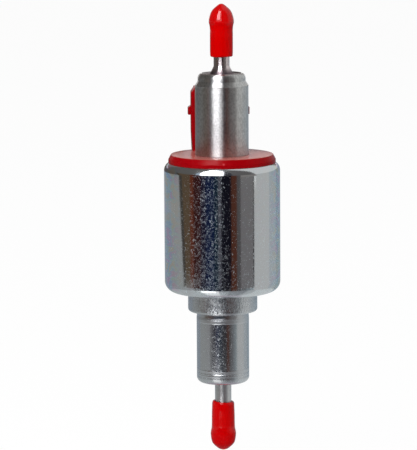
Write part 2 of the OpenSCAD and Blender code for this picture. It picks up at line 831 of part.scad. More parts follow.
module stop_bush() {
    color("lightsteelblue")
        difference() {
            ring(stop_bore_r, press_r, stop_z0, stop_z1);
            around(4)
                translate([stop_hole_at, 0, stop_z0 - 1])
                    cylinder(r = stop_hole_r, h = stop_t + 2, $fn = 24);
        }
}

module filter_frame() {
    color("ivory") {
        ring(mesh_r - mesh_t, press_r, filter_z1 - filter_ring_t, filter_z1);
        translate([0, 0, filter_z0])
            cylinder(r = filter_r, h = filter_end_t);
        around(4)
            translate([mesh_r + seat_gap, -rib_w / 2, filter_z0])
                cube([filter_r - mesh_r - 3 * seat_gap, rib_w, filter_z1 - filter_z0 - eps]);
    }
}

module filter_mesh() {
    color("beige")
        ring(mesh_r - mesh_t, mesh_r, filter_z0 + filter_end_t + seat_gap,
             filter_z1 - filter_ring_t - seat_gap);
}

module valve_seat() {
    color("goldenrod")
        difference() {
            ring(seat_hole_r, press_r, seat_z, seat_top_z);
            ring(press_r - small_cord_d, press_r + 1, seat_groove_z - groove_half, seat_groove_z + groove_half);
        }
}

module valve_ball() {
    color("white")
        translate([0, 0, ball_z])
            sphere(r = ball_r);
}

module valve_spring() {
    color("silver")
        wire_coil(valve_mean_r, valve_wire_d, valve_turns, valve_spring_z0,
                  valve_spring_z0 + valve_spring_length);
}

module valve_cage() {
    color("ivory")
        difference() {
            union() {
                ring(cage_bore_r, cage_r, seat_top_z + seat_gap, cage_roof_z + eps);
                translate([0, 0, cage_roof_z])
                    cylinder(r = press_r, h = cage_roof_t);
            }
            around(3)
                translate([0, 0, ball_z])
                    rotate([0, 90, 0])
                        cylinder(r = cage_window_r, h = cage_r + 1, $fn = 24);
            around(6)
                translate([(cage_r + press_r) / 2, 0, cage_roof_z - 1])
                    cylinder(r = channel_r, h = cage_roof_t + 2, $fn = 24);
        }
}

module damper_sleeve() {
    color("dimgray")
        ring(damper_bore_r, press_r, damper_z0, damper_z1);
}

module outlet_o_ring() {
    color("black")
        o_ring(press_r - small_cord_d + seat_gap, small_cord_d - seat_gap, spigot_groove_z);
}

module inlet_o_ring() {
    color("black")
        o_ring(inlet_tube_d / 2 + seat_gap, small_cord_d, housing_floor_z + groove_half);
}

module seat_o_ring() {
    color("black")
        o_ring(press_r - small_cord_d + seat_gap, small_cord_d - seat_gap, seat_groove_z);
}

module flange_o_ring() {
    color("black")
        o_ring(barrel_r + seat_gap, seal_cord_d, flange_z - seal_cord_d / 2 - 2 * seat_gap);
}

module collar_o_ring() {
    color("black")
        o_ring(housing_tube_r + seat_gap, seal_cord_d, can_floor_z + seal_cord_d / 2 + seat_gap);
}

magnet_can();
pole_collar();
inlet_housing();
inlet_spigot();
inlet_cap();
connector_flange();
terminal_blades();
outlet_barrel();
outlet_spigot();
outlet_cap();
gap_ring();
coil_bobbin();
coil_winding();
winding_sleeve();
yoke_washer();
pole_core();
cylinder_sleeve();
piston();
armature();
return_spring();
rest_buffer();
stroke_buffer();
stop_bush();
filter_frame();
filter_mesh();
valve_seat();
valve_ball();
valve_spring();
valve_cage();
damper_sleeve();
outlet_o_ring();
inlet_o_ring();
seat_o_ring();
flange_o_ring();
collar_o_ring();
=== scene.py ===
from math import acos, cos, pi, radians, sin, tan

import bmesh
import bpy
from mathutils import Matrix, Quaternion, Vector


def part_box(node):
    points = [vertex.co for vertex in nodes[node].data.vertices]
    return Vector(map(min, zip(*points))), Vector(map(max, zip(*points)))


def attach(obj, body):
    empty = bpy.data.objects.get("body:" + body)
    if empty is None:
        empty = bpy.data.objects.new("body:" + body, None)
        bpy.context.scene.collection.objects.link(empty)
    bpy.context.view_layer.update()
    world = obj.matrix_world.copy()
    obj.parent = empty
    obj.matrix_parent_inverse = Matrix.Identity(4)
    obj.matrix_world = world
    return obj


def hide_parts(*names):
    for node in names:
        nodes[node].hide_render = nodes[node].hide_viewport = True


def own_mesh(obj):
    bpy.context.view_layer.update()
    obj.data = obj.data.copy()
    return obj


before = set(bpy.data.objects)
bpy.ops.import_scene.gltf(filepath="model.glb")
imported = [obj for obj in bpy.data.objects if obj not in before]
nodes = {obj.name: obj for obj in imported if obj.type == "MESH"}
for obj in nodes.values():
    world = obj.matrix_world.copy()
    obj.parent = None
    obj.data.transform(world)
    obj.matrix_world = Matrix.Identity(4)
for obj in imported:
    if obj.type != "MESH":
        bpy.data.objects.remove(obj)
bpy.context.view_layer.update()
scene = bpy.context.scene
scene.view_settings.view_transform = "Standard"
mm = 0.001
print("frame loaded:", len(nodes), "parts of the pump")


# helpers for shader trees

def put(kind, sockets={}, tree=None, **options):
    # the new node's tree is found from what leads to it, so only a node without links is told
    wired = {name: value.id_data for name, value in sockets.items() if hasattr(value, "links")}
    tree = tree or next(iter(wired.values()))
    node = tree.nodes.new("ShaderNode" + kind)
    for name, value in options.items():
        setattr(node, name, value)
    for name, value in sockets.items():
        socket = node.inputs[name]
        if name in wired:
            tree.links.new(value, socket)
        else:
            socket.default_value = (*value[:3], 1) if socket.type == "RGBA" else value
    return node


def calc(operation, first, second=0.5, third=0):
    sockets = {0: first, 1: second, 2: third}
    return put("Math", sockets, operation=operation).outputs[0]


def minus(first, second):
    return calc("SUBTRACT", first, second)


def times(first, second):
    return calc("MULTIPLY", first, second)


def plus(first, second):
    return calc("ADD", first, second)


def larger(first, second):
    return calc("MAXIMUM", first, second)


def mixed(share, first, second):
    return put("Mix", {0: share, 2: first, 3: second}).outputs[0]


def blend(share, first, second, mode="MIX"):
    return put("Mix", {0: share, 6: first, 7: second}, data_type="RGBA", blend_type=mode).outputs[2]


def spread(value, low, high, toLow=0, toHigh=1):
    sockets = {"Value": value, "From Min": low, "From Max": high, "To Min": toLow, "To Max": toHigh}
    return put("MapRange", sockets, clamp=True).outputs[0]


def objectPoint(tree):
    return put("TexCoord", tree=tree).outputs["Object"]


def pointParts(tree, point=None):
    return put("SeparateXYZ", {0: point or objectPoint(tree)}).outputs


def upward(tree):
    return pointParts(tree, put("TexCoord", tree=tree).outputs["Normal"])[2]


def stretched(point, up):
    return put("Mapping", {"Vector": point, "Scale": (1, 1, up)}).outputs[0]


def noise(point, scale, detail=2, roughness=0.5, distortion=0):
    sockets = {"Vector": point, "Scale": scale, "Detail": detail, "Roughness": roughness,
               "Distortion": distortion}
    return put("TexNoise", sockets).outputs[0]


def effectGroup(name, outputs, **inputs):
    # an input given as three numbers is a colour, and so is an output named Colour
    tree = bpy.data.node_groups.new(name, "ShaderNodeTree")
    sorts = [(label, "INPUT", isinstance(value, tuple)) for label, value in inputs.items()]
    sorts += [(label, "OUTPUT", label == "Colour") for label in outputs]
    for label, way, coloured in sorts:
        socket = tree.interface.new_socket(
            label, in_out=way, socket_type="NodeSocketColor" if coloured else "NodeSocketFloat")
        if way == "INPUT":
            socket.default_value = (*inputs[label], 1) if coloured else inputs[label]
    return tree, tree.nodes.new("NodeGroupInput").outputs, tree.nodes.new("NodeGroupOutput").inputs


def handOut(tree, leave, **made):
    for label, output in made.items():
        tree.links.new(output, leave[label])
    return tree


def effect(tree, name, **sockets):
    return put("Group", sockets, tree, node_tree=effects[name]).outputs


def effectsOf(tree, look, *names):
    # several effects, as the look's own settings have them
    return [effect(tree, name, **look[name]) for name in names]


def emptied(owner):
    owner.use_nodes = True
    owner.node_tree.nodes.clear()
    return owner.node_tree


def seenOrMirrored(tree):
    rays = put("LightPath", tree=tree).outputs
    seen = larger(rays["Is Camera Ray"], rays["Is Glossy Ray"])
    return larger(seen, rays["Is Transmission Ray"])


# helpers for placing and building; azimuth 0 is straight in front of the pump

def direction(azimuth, elevation):
    a, e = radians(azimuth), radians(elevation)
    return sin(a) * cos(e), -cos(a) * cos(e), sin(e)


def polar(azimuth, radius, height):
    a = radians(azimuth)
    return radius * sin(a), -radius * cos(a), height


def newObject(name, data):
    made = bpy.data.objects.new(name, data)
    scene.collection.objects.link(made)
    return made


def aim(looker, away, distance, target=(0, 0, 0)):
    looker.location = (Vector(target) + Vector(away) * distance) * mm
    looker.rotation_mode = "QUATERNION"
    looker.rotation_quaternion = (-Vector(away)).to_track_quat("-Z", "Y")


def meshObject(name, points, faces, material):
    mesh = bpy.data.meshes.new(name)
    mesh.from_pydata([Vector(p) * mm for p in points], [], faces)
    mesh.update()
    mesh.materials.append(material)
    return newObject(name, mesh)


def ringFaces(rings, count, closed=True):
    # four-sided faces from each ring of points to the next; closed rings also get flat ends
    faces = [(i * count + k, i * count + (k + 1) % count, (i + 1) * count + (k + 1) % count,
              (i + 1) * count + k)
             for i in range(rings - 1) for k in range(count if closed else count - 1)]
    if closed:
        last = (rings - 1) * count
        faces += [tuple(range(count - 1, -1, -1)), tuple(range(last, last + count))]
    return faces


# the camera, where the photograph was taken from

cameraAt = {
    "target": (0, 0, -1.2), "distance": 900, "azimuth": -4.5, "elevation": 8.33, "sensor": 36,
    "lens": 238.2, "roll": -0.005, "shiftX": -0.0308, "shiftY": 0.0089, "near": 0.05, "far": 20,
}


def makeCamera(at):
    data = bpy.data.cameras.new("photoCamera")
    camera = newObject("photoCamera", data)
    aim(camera, direction(at["azimuth"], at["elevation"]), at["distance"], at["target"])
    camera.rotation_quaternion = camera.rotation_quaternion @ Quaternion((0, 0, 1), at["roll"])
    data.sensor_width, data.lens = at["sensor"], at["lens"]
    data.shift_x, data.shift_y = at["shiftX"], at["shiftY"]
    data.clip_start, data.clip_end = at["near"], at["far"]
    scene.camera = camera


makeCamera(cameraAt)
print("camera placed")


# the studio: pale floor and backdrop, soft lights, and the boards and cards that bright metal mirrors

studio = {
    "floorZ": -89,  # low enough for the inlet cap when it is pulled off
    "floorHalf": 6000, "floorWhite": 0.86, "floorSeen": 0.955,
    "backdropY": 2600, "backdropTall": 4000, "backdropSeen": 1, "worldLight": 0.32,
    "cloud": (3, 3), "cloudDark": 0.985,
    "boardRadius": 180, "boardTop": 44, "boardMiddle": -24, "boardStep": 4,
    "cardZ": -69.9, "cardInner": 104, "cardLift": 0.3, "nearCardLift": 0.25, "nearCardStep": 6,
    "patchStep": 8,
}
# lamps: azimuth, elevation, distance, width, height, power
lamps = {"softbox": (-25, 34, 900, 620, 700, 9.6), "overhead": (120, 62, 1200, 900, 900, 3)}
# cards lying close to the pump: start and end in degrees, inner and outer radius, tone
nearCards = (
    (-180, -48, 20, 104, (0.51, 0.54, 0.545)), (-12, 8, 20, 104, (0.43, 0.45, 0.47)),
    (8, 46, 20, 104, (0.31, 0.32, 0.34)), (46, 66, 20, 104, (0.5, 0.53, 0.54)),
    (66, 180, 20, 104, (0.68, 0.71, 0.72)), (-48, -12, 20, 60, (1, 1, 1)),
    (-50, -18, 60, 104, (2.3, 2.3, 2.3)), (-180, 180, 1, 20, (0.5, 0.46, 0.52)),
)
# boards round the pump: start and end in degrees, tone, lower and upper edge, and for some how far
# their side edges lean in degrees per mm; None or nothing is down to the floor cards or full height
nearBoards = {
    "backLeft": (-180, -122, (0.33, 0.37, 0.42), None, -4),
    "leftGrey": (-122, -91, (0.36, 0.37, 0.37), None, -4, 0, -0.30),
    "leftUpper": (-180, -88, (0.125, 0.112, 0.105), -4),
    "leftEdge": (-91, -89, (0.17, 0.165, 0.16), -46, 44, -0.30, -0.29),
    "leftShade": (-89, -83, (0.065, 0.058, 0.05), -45, 44, -0.29, -0.26),
    "oliveBoard": (-83, -68.3, (0.12, 0.082, 0.052), -43, 44, -0.26, 0),
    "rustLine": (-68.3, -60.5, (0.135, 0.035, 0.018), -44),
    "lowGrey": (-91, -62, (0.36, 0.365, 0.375), None, -46, -0.30, 0),
    "lowEdge": (-83, -60.5, (0.22, 0.2, 0.19), -46, -43, -0.26, 0),
    "rustBoard": (-60.5, -45.7, (0.045, 0.012, 0.011), -46),
    "lowMiddle": (-62, -53, (0.2, 0.2, 0.21), None, -46),
    "lowShade": (-53, -45.7, (0.1, 0.1, 0.115), None, -46),
    "duskRoom": (-45.7, -36, (0.014, 0.012, 0.028)),
    "blueRoom": (-36, -20, (0.006, 0.014, 0.05)),
    "tealRoom": (-20, -12.6, (0.006, 0.02, 0.036)),
    "greyPost": (-12.6, -6.3, (0.1, 0.1, 0.12), -48),
    "lowDusk": (-12.6, -6.3, (0.02, 0.024, 0.045), None, -48),
    "blackRoom": (-6.3, 12.1, (0.007, 0.007, 0.013), -48),
    "lowBlack": (-6.3, 12.1, (0.036, 0.034, 0.04), None, -48),
    "rustPost": (12.1, 23, (0.095, 0.034, 0.022)),
    "greyGap": (23, 30.5, (0.1, 0.094, 0.096)),
    "greyBoard": (30.5, 56.4, (0.2, 0.19, 0.195), -48, -3),
    "boardSide": (56.4, 58.6, (0.06, 0.058, 0.06), -48, -3),
    "lowRight": (30.5, 42, (0.16, 0.165, 0.175), None, -48),
    "lowRightMiddle": (42, 52, (0.24, 0.27, 0.29), None, -48),
    "lowRightOuter": (52, 58.6, (0.33, 0.38, 0.4), None, -48),
    "greyUpper": (30.5, 63.4, (0.28, 0.26, 0.25), -3),
    "rightGrey": (58.6, 98, (0.57, 0.575, 0.575), None, -7),
    "rightUpper": (63.4, 98, (0.57, 0.575, 0.575), -7),
    "rightFar": (98, 124, (0.46, 0.5, 0.53)),
    "backRight": (124, 180, (0.34, 0.40, 0.45)),
}
# patches of the room further out: start, end, lowest and highest angle, distance, tone
roomPatches = {
    "roomLeft": (-150, -52, -1, 84, 1600, (0.13, 0.125, 0.12)),
    "roomFront": (-52, 16, -1, 84, 1620, (0.05, 0.05, 0.06)),
    "roomMiddle": (16, 64, -1, 84, 1600, (0.14, 0.13, 0.13)),
    "roomRight": (64, 150, -1, 84, 1600, (0.76, 0.77, 0.77)),
    "roomTop": (-180, 180, 84, 90, 1600, (0.3, 0.3, 0.3)),
    "roomBack": (150, 210, 12, 84, 1600, (0.24, 0.2, 0.19)),
    "softboxEdge": (-58, -48, 12.4, 40, 310, (0.45, 0.54, 0.64)),
    "softboxFace": (-48, -1.5, 12.4, 76, 300, (2.7, 2.7, 2.8)),
    "softboxMiddle": (-47, -15.5, 31, 70, 290, (14.6, 14.6, 15)),
}


def glowing(name, colour):
    material = bpy.data.materials.new(name)
    tree = emptied(material)
    top = max(*colour, 1)
    shine = put("Emission", {"Color": [c / top for c in colour], "Strength": top}, tree)
    put("OutputMaterial", {"Surface": shine.outputs[0]})
    return material


def paleMaterial(name, s, seenWhite):
    material = bpy.data.materials.new(name)
    tree = emptied(material)
    cloud = noise(objectPoint(tree), *s["cloud"])
    white = s["floorWhite"]
    tone = blend(spread(cloud, 0.3, 0.7), (white,) * 3, (white * s["cloudDark"],) * 3)
    plain = put("BsdfDiffuse", {"Color": tone, "Roughness": 0.5})
    bright = put("Emission", tree=tree)
    share = times(seenOrMirrored(tree), seenWhite)
    both = put("MixShader", {0: share, 1: plain.outputs[0], 2: bright.outputs[0]})
    put("OutputMaterial", {"Surface": both.outputs[0]})
    return material


def mirroredPatch(name, span, step, spot, colour, rows=1, least=2):
    # a glowing patch that only mirrors see; spot takes two shares, round the pump and upwards
    columns = max(least, int(span / step))
    points = [spot(i / columns, k / rows) for i in range(columns + 1) for k in range(rows + 1)]
    panel = meshObject(name, points, ringFaces(columns + 1, rows + 1, False), glowing(name, colour))
    panel.visible_camera = panel.visible_diffuse = panel.visible_shadow = False


def makeNearBoard(s, name, start, end, colour, bottom=None, top=None, leanStart=0, leanEnd=0):
    radius, level = s["boardRadius"], s["cardZ"]
    foot = level if bottom is None else bottom
    rise = (s["boardTop"] if top is None else top) - foot

    def edgeAngle(u, height):
        up = height - s["boardMiddle"]
        first, last = start + leanStart * up, end + leanEnd * up
        return first + u * (last - first)

    def boardSpot(u, v):
        height = foot + v * rise
        return polar(edgeAngle(u, height), radius, height)

    def cardSpot(u, v):
        reach = s["cardInner"] + v * (radius - s["cardInner"])
        return polar(edgeAngle(u, level), reach, level + s["cardLift"])

    mirroredPatch(name, end - start, s["boardStep"], boardSpot, colour)
    if bottom is None:  # a card of the same tone lies in front of the board
        mirroredPatch(name + "Card", end - start, s["boardStep"], cardSpot, colour)


def areaLamp(name, azimuth, elevation, distance, width, height, power):
    data = bpy.data.lights.new(name, "AREA")
    data.shape = "RECTANGLE"
    data.size, data.size_y = width * mm, height * mm
    data.energy = power
    lamp = newObject(name, data)
    aim(lamp, direction(azimuth, elevation), distance)
    lamp.visible_camera = lamp.visible_glossy = False  # metal mirrors the softbox's face instead


def makeStudio(s):
    z, y, half = s["floorZ"], s["backdropY"], s["floorHalf"]
    top = z + s["backdropTall"]
    floor = [(-half, -half, z), (half, -half, z), (half, half, z), (-half, half, z)]
    backdrop = [(-half, y, z), (half, y, z), (half, y, top), (-half, y, top)]
    for name, corners, face, seen in (("paleFloor", floor, (0, 1, 2, 3), s["floorSeen"]),
                                      ("paleBackdrop", backdrop, (3, 2, 1, 0), s["backdropSeen"])):
        meshObject(name, corners, [face], paleMaterial(name, s, seen))
    for name, row in nearBoards.items():
        makeNearBoard(s, name, *row)
    for name, (start, end, low, high, reach, colour) in roomPatches.items():
        def roomSpot(u, v):
            away = direction(start + u * (end - start), low + v * (high - low))
            return [reach * part for part in away]

        mirroredPatch(name, end - start, s["patchStep"], roomSpot, colour,
                      max(2, int((high - low) / s["patchStep"])), 3)
    for index, (start, end, inner, outer, colour) in enumerate(nearCards):
        def nearCardSpot(u, v):
            height = s["cardZ"] + s["nearCardLift"]
            return polar(start + u * (end - start), inner + v * (outer - inner), height)

        mirroredPatch("nearCard" + str(index), end - start, s["nearCardStep"], nearCardSpot, colour)
    for name, lamp in lamps.items():
        areaLamp(name, *lamp)
    scene.world = bpy.data.worlds.new("studioAir")
    tree = emptied(scene.world)
    light = spread(seenOrMirrored(tree), 0, 1, s["worldLight"], 1)
    air = put("Background", {"Color": (1, 1, 1), "Strength": light})
    put("OutputWorld", {"Surface": air.outputs[0]})


makeStudio(studio)
print("studio set up")


# surface effects that several finishes share

def makeScratches():
    tree, entry, leave = effectGroup("fineScratches", ["Mask"], Scale=160, Width=0.015, Broken=0.5)
    point = objectPoint(tree)
    drift = put("TexNoise", {"Vector": point, "Scale": 90, "Detail": 2}).outputs[1]
    drift = put("VectorMath", {0: drift, "Scale": 0.006}, operation="SCALE").outputs[0]
    bent = put("VectorMath", {0: point, 1: drift}, operation="ADD").outputs[0]
    cell = put("TexVoronoi", {"Vector": bent, "Scale": entry["Scale"]},
               feature="DISTANCE_TO_EDGE").outputs["Distance"]
    line = minus(1, spread(cell, 0, entry["Width"]))
    gaps = calc("GREATER_THAN", noise(point, 420), entry["Broken"])
    return handOut(tree, leave, Mask=times(line, gaps))


def makeSpecks():
    # where the plate stands up in crystals: fine grains and short worm-like marks
    tree, entry, leave = effectGroup("plateSpecks", ["Mask", "Height"], Scale=1000, Thickness=0.03,
                                     Patches=200, Cover=0.5, Grains=0.5)
    point = objectPoint(tree)
    tall = stretched(point, 0.6)
    grain = noise(tall, entry["Scale"], distortion=0.9)
    away = calc("ABSOLUTE", minus(grain, 0.5))
    worm = minus(1, spread(away, 0, entry["Thickness"]))
    patch = noise(point, entry["Patches"], 3, 0.7)
    over = minus(patch, minus(1, entry["Cover"]))
    worm = times(worm, spread(over, 0, 0.05))
    dots = noise(tall, times(entry["Scale"], 1.6), 1)
    dots = times(spread(dots, 0.59, 0.67), entry["Grains"])
    dots = times(dots, spread(over, -0.1, 0.04))
    return handOut(tree, leave, Mask=larger(worm, dots), Height=grain)


def makeGrooves():
    # lathe marks: rings round the axis, on a turned side as on a turned face
    tree, entry, leave = effectGroup("turnedGrooves", ["Height", "Tone"], Fine=5000, Coarse=900)
    x, y, z = pointParts(tree)
    along = plus(z, calc("SQRT", plus(times(x, x), times(y, y))))
    fine, coarse = [put("TexNoise", {"W": along, "Scale": entry[label], "Detail": detail},
                        noise_dimensions="1D").outputs[0]
                    for label, detail in (("Fine", 2), ("Coarse", 3))]
    both = plus(times(fine, 0.6), times(coarse, 0.4))
    return handOut(tree, leave, Height=both, Tone=spread(both, 0.32, 0.68))


rainbow = ((0.36, (1, 0.84, 0.66)), (0.43, (0.7, 0.97, 0.86)), (0.5, (0.84, 0.94, 1)),
           (0.56, (0.54, 0.8, 1)), (0.64, (1, 0.68, 0.88)))


def makeTintWithPaintedSheen():
    # the faint rainbow of a clear passivated zinc film, painted strongest at the left and right,
    # where the camera sees the can edge-on: a painted sheen, since the real film shows its rainbow
    # only at grazing angles
    tree, entry, leave = effectGroup("passivatedTintPaintedSheen", ["Colour"], Base=(0.62, 0.63, 0.64),
                                     Strength=0.3)
    point = objectPoint(tree)
    hue = noise(stretched(point, 1.7), 210, 2, 0.6, 0.9)
    ramp = put("ValToRGB", {0: calc("MULTIPLY_ADD", hue, 1.7, -0.35)})
    stops = ramp.color_ramp.elements
    while len(stops) < len(rainbow):
        stops.new(0.5)
    for stop, (at, colour) in zip(stops, rainbow):
        stop.position, stop.color = at, (*colour, 1)
    # painted sheen: the rainbow's share rises towards the left and right edges of the can
    side = spread(calc("ABSOLUTE", pointParts(tree, point)[0]), 0.0132, 0.0168, 0.06, 0.95)
    share = times(side, entry["Strength"])
    share = times(share, spread(noise(point, 60), 0.25, 0.46))
    filmWithPaintedLight = blend(1, entry["Base"], ramp.outputs[0], "MULTIPLY")
    return handOut(tree, leave, Colour=blend(share, entry["Base"], filmWithPaintedLight))


def makeSmudges():
    # handling marks and a little dust: a slow change of tone and sheen
    tree, entry, leave = effectGroup("handlingMarks", ["Mask"], Scale=90)
    wide = noise(objectPoint(tree), entry["Scale"], 5, 0.62, 0.4)
    return handOut(tree, leave, Mask=spread(wide, 0.38, 0.66))


def makeMouldGrain():
    tree, entry, leave = effectGroup("mouldGrain", ["Colour", "Height", "Mask"], Scale=3200,
                                     Colour=(0.5, 0, 0), Worn=(0.6, 0.1, 0.1), Wear=0.3)
    point = objectPoint(tree)
    grain = noise(point, entry["Scale"], 3)
    slow = noise(point, 130, 4, 0.6)
    wear = times(spread(slow, 0.42, 0.68), entry["Wear"])
    colour = blend(wear, entry["Colour"], entry["Worn"])
    return handOut(tree, leave, Colour=colour, Height=grain, Mask=wear)


def makeWireTurns():
    # close turns of wire round the axis, each with its own tone, with painted shade in the dark gap
    # between turns
    tree, entry, leave = effectGroup("wireTurns", ["Colour", "Height"], Pitch=0.00025,
                                     First=(0.5, 0.2, 0.08), Second=(0.7, 0.33, 0.14))
    x, y, z = pointParts(tree)
    around = calc("DIVIDE", calc("ARCTAN2", y, x), 2 * pi)
    turn = plus(calc("DIVIDE", z, entry["Pitch"]), around)
    wave = calc("ABSOLUTE", calc("SINE", times(turn, pi)))
    own = put("TexWhiteNoise", {"W": calc("FLOOR", turn)}, noise_dimensions="1D").outputs[0]
    tone = blend(own, entry["First"], entry["Second"])
    # painted shade: near black where one turn meets the next
    colour = blend(spread(wave, 0, 0.55), (0.05, 0.02, 0.01), tone)
    return handOut(tree, leave, Colour=colour, Height=wave)


def makeWeave():
    # warp and weft of a cylindrical mesh, with the holes between them
    tree, entry, leave = effectGroup("weaveThreads", ["Height", "Alpha"], Across=3300, Around=84)
    x, y, z = pointParts(tree)
    threads = [times(calc("ARCTAN2", y, x), entry["Around"]), times(z, entry["Across"])]
    warp, weft = [calc("ABSOLUTE", calc("SINE", along)) for along in threads]
    top = larger(warp, weft)
    return handOut(tree, leave, Height=top, Alpha=spread(top, 0.55, 0.7))


effects = {
    "scratches": makeScratches(), "specks": makeSpecks(), "grooves": makeGrooves(),
    "tint": makeTintWithPaintedSheen(), "smudges": makeSmudges(), "grain": makeMouldGrain(), "turns": makeWireTurns(),
    "weave": makeWeave(),
}
print("surface effects made:", len(effects))


# finishes, one for each material slot of the pump

def newFinish(name, fixed):
    material = bpy.data.materials.new(name)
    material.use_nodes = True
    for label, value in fixed.items():
        material.node_tree.nodes["Principled BSDF"].inputs[label].default_value = value
    return material, material.node_tree


def lead(material, **links):
    # each link is named as its socket, but for the colour and the coat
    tree, others = material.node_tree, {"colour": "Base Color", "coat": "Coat Weight"}
    for name, output in links.items():
        socket = others.get(name, name.capitalize())
        tree.links.new(output, tree.nodes["Principled BSDF"].inputs[socket])
    return material


def relief(height, distance, below=None):
    sockets = {"Height": height, "Distance": distance}
    if below:
        sockets["Normal"] = below
    return put("Bump", sockets).outputs[0]


def aroundAxis(tree):
    return put("Tangent", tree=tree, direction_type="RADIAL", axis="Z").outputs[0]


def grooved(stretch):  # its highlights are drawn out across the grooves
    return {"Metallic": 1, "Anisotropic": stretch, "Anisotropic Rotation": 0.25}


def scaled(colour, factor):
    return tuple(min(1, c * factor) for c in colour)


# heights in metres; cover is how many specks there are, from one height to the other
brightZincLook = {
    "tint": {"Base": (0.62, 0.64, 0.65), "Strength": 1}, "speck": (0.84, 0.95, 1),
    "roughness": (0.055, 0.105), "speckRoughness": 0.52, "waveScale": 120, "waveDepth": 0.00002,
    "cover": (0.018, -0.016, 0.38, 0.46), "sides": 4, "sidesAt": 110, "sidesCover": 0.1,
    "footCover": (-0.013, -0.0225, 0, 0.07), "lipLess": (0.0168, 0.0178, 0, 0.16),
    "lipDulling": (0.017, 0.0182, 0, 0.06), "speckShare": 0.75, "speckHeight": 0.000003,
    "scratchShare": 0.4,
    "specks": {"Scale": 2600, "Thickness": 0.035, "Patches": 1400, "Grains": 0.95},
    "scratches": {"Scale": 110, "Width": 0.006, "Broken": 0.62}, "smudges": {"Scale": 70},
}


def makeBrightZinc(look):
    material, tree = newFinish("brightZinc", {"Metallic": 1})
    x, y, z = pointParts(tree)
    sides = calc("MULTIPLY_ADD", calc("ARCTAN2", y, x), look["sides"],
                 radians(look["sides"] * look["sidesAt"]))
    sides = spread(calc("COSINE", sides), 0, 0.95)
    cover = calc("MULTIPLY_ADD", sides, look["sidesCover"], spread(z, *look["cover"]))
    cover = plus(cover, spread(z, *look["footCover"]))
    cover = minus(cover, spread(z, *look["lipLess"]))
    specks = effect(tree, "specks", Cover=cover, **look["specks"])
    scratches, smudges, filmWithPaintedLight = effectsOf(tree, look, "scratches", "smudges", "tint")
    marks = larger(specks["Mask"], times(scratches["Mask"], look["scratchShare"]))
    colour = blend(times(marks, look["speckShare"]), filmWithPaintedLight["Colour"], look["speck"])
    rough = spread(smudges["Mask"], 0, 1, *look["roughness"])
    rough = plus(rough, spread(z, *look["lipDulling"]))
    rough = mixed(marks, rough, look["speckRoughness"])
    wavy = relief(noise(objectPoint(tree), look["waveScale"], 1), look["waveDepth"])
    return lead(material, colour=colour, roughness=rough,
                normal=relief(specks["Height"], look["speckHeight"], wavy))


satinZincLook = {
    "tint": {"Base": (0.56, 0.575, 0.585), "Strength": 0.15}, "speck": (0.78, 0.84, 0.9),
    "roughness": (0.155, 0.215), "speckRoughness": 0.5, "bandRoughness": 0.37, "stretch": 0.3,
    "grooveShare": 0.2, "grooveDark": 0.8, "grooveDepth": 0.00011, "shallow": 0.045,
    "speckHeight": 0.000004, "speckShare": 0.5, "scratchShare": 0.4,
    "specks": {"Scale": 2000, "Thickness": 0.02, "Patches": 1200, "Cover": 0.455, "Grains": 0.95},
    "grooves": {"Fine": 2600, "Coarse": 420},
    "scratches": {"Scale": 150, "Width": 0.008, "Broken": 0.62},
    # bands left by the rolling tool, each from one height to the other in metres, with its share
    "bands": ((-0.0291, -0.0276, 1), (-0.0276, -0.0262, 0.5), (-0.0446, -0.0436, 1),
              (-0.0451, -0.0446, 0.4), (-0.04555, -0.0451, 0.8), (-0.0478, -0.04555, 0.35)),
    "bandSoft": 0.00012,
}


def makeSatinZinc(look):
    material, tree = newFinish("satinZinc", grooved(look["stretch"]))
    specks, rings, scratches, filmWithPaintedLight = effectsOf(tree, look, "specks", "grooves", "scratches", "tint")
    z, soft, band = pointParts(tree)[2], look["bandSoft"], None
    for low, high, share in look["bands"]:
        part = times(spread(z, low - soft, low + soft), spread(z, high - soft, high + soft, share, 0))
        band = larger(band, part) if band else part
    marks = larger(specks["Mask"], times(scratches["Mask"], look["scratchShare"]))
    shade = blend(times(rings["Tone"], look["grooveShare"]), filmWithPaintedLight["Colour"],
                  scaled(look["tint"]["Base"], look["grooveDark"]))
    colour = blend(times(marks, look["speckShare"]), shade, look["speck"])
    rough = spread(rings["Tone"], 0, 1, *look["roughness"])
    rough = mixed(marks, rough, look["speckRoughness"])
    rough = mixed(band, rough, look["bandRoughness"])
    height = times(rings["Height"], spread(band, 0, 1, look["shallow"], 1))
    return lead(material, colour=colour, roughness=rough, tangent=aroundAxis(tree),
                normal=relief(specks["Height"], look["speckHeight"],
                              relief(height, look["grooveDepth"])))


# wear that all turned metal has
turnedWear = {
    "scratches": {"Scale": 210, "Width": 0.03, "Broken": 0.56}, "smudges": {"Scale": 260},
    "gritScale": 1900, "gritTall": 0.7, "gritDark": 0.6, "grooveShare": 0.7, "scratchShare": 0.3,
    "scratchDark": 0.35, "smudgeShare": 0.2, "smoothed": 0.02, "dulled": 0.03, "faceRoughness": 0.14,
}


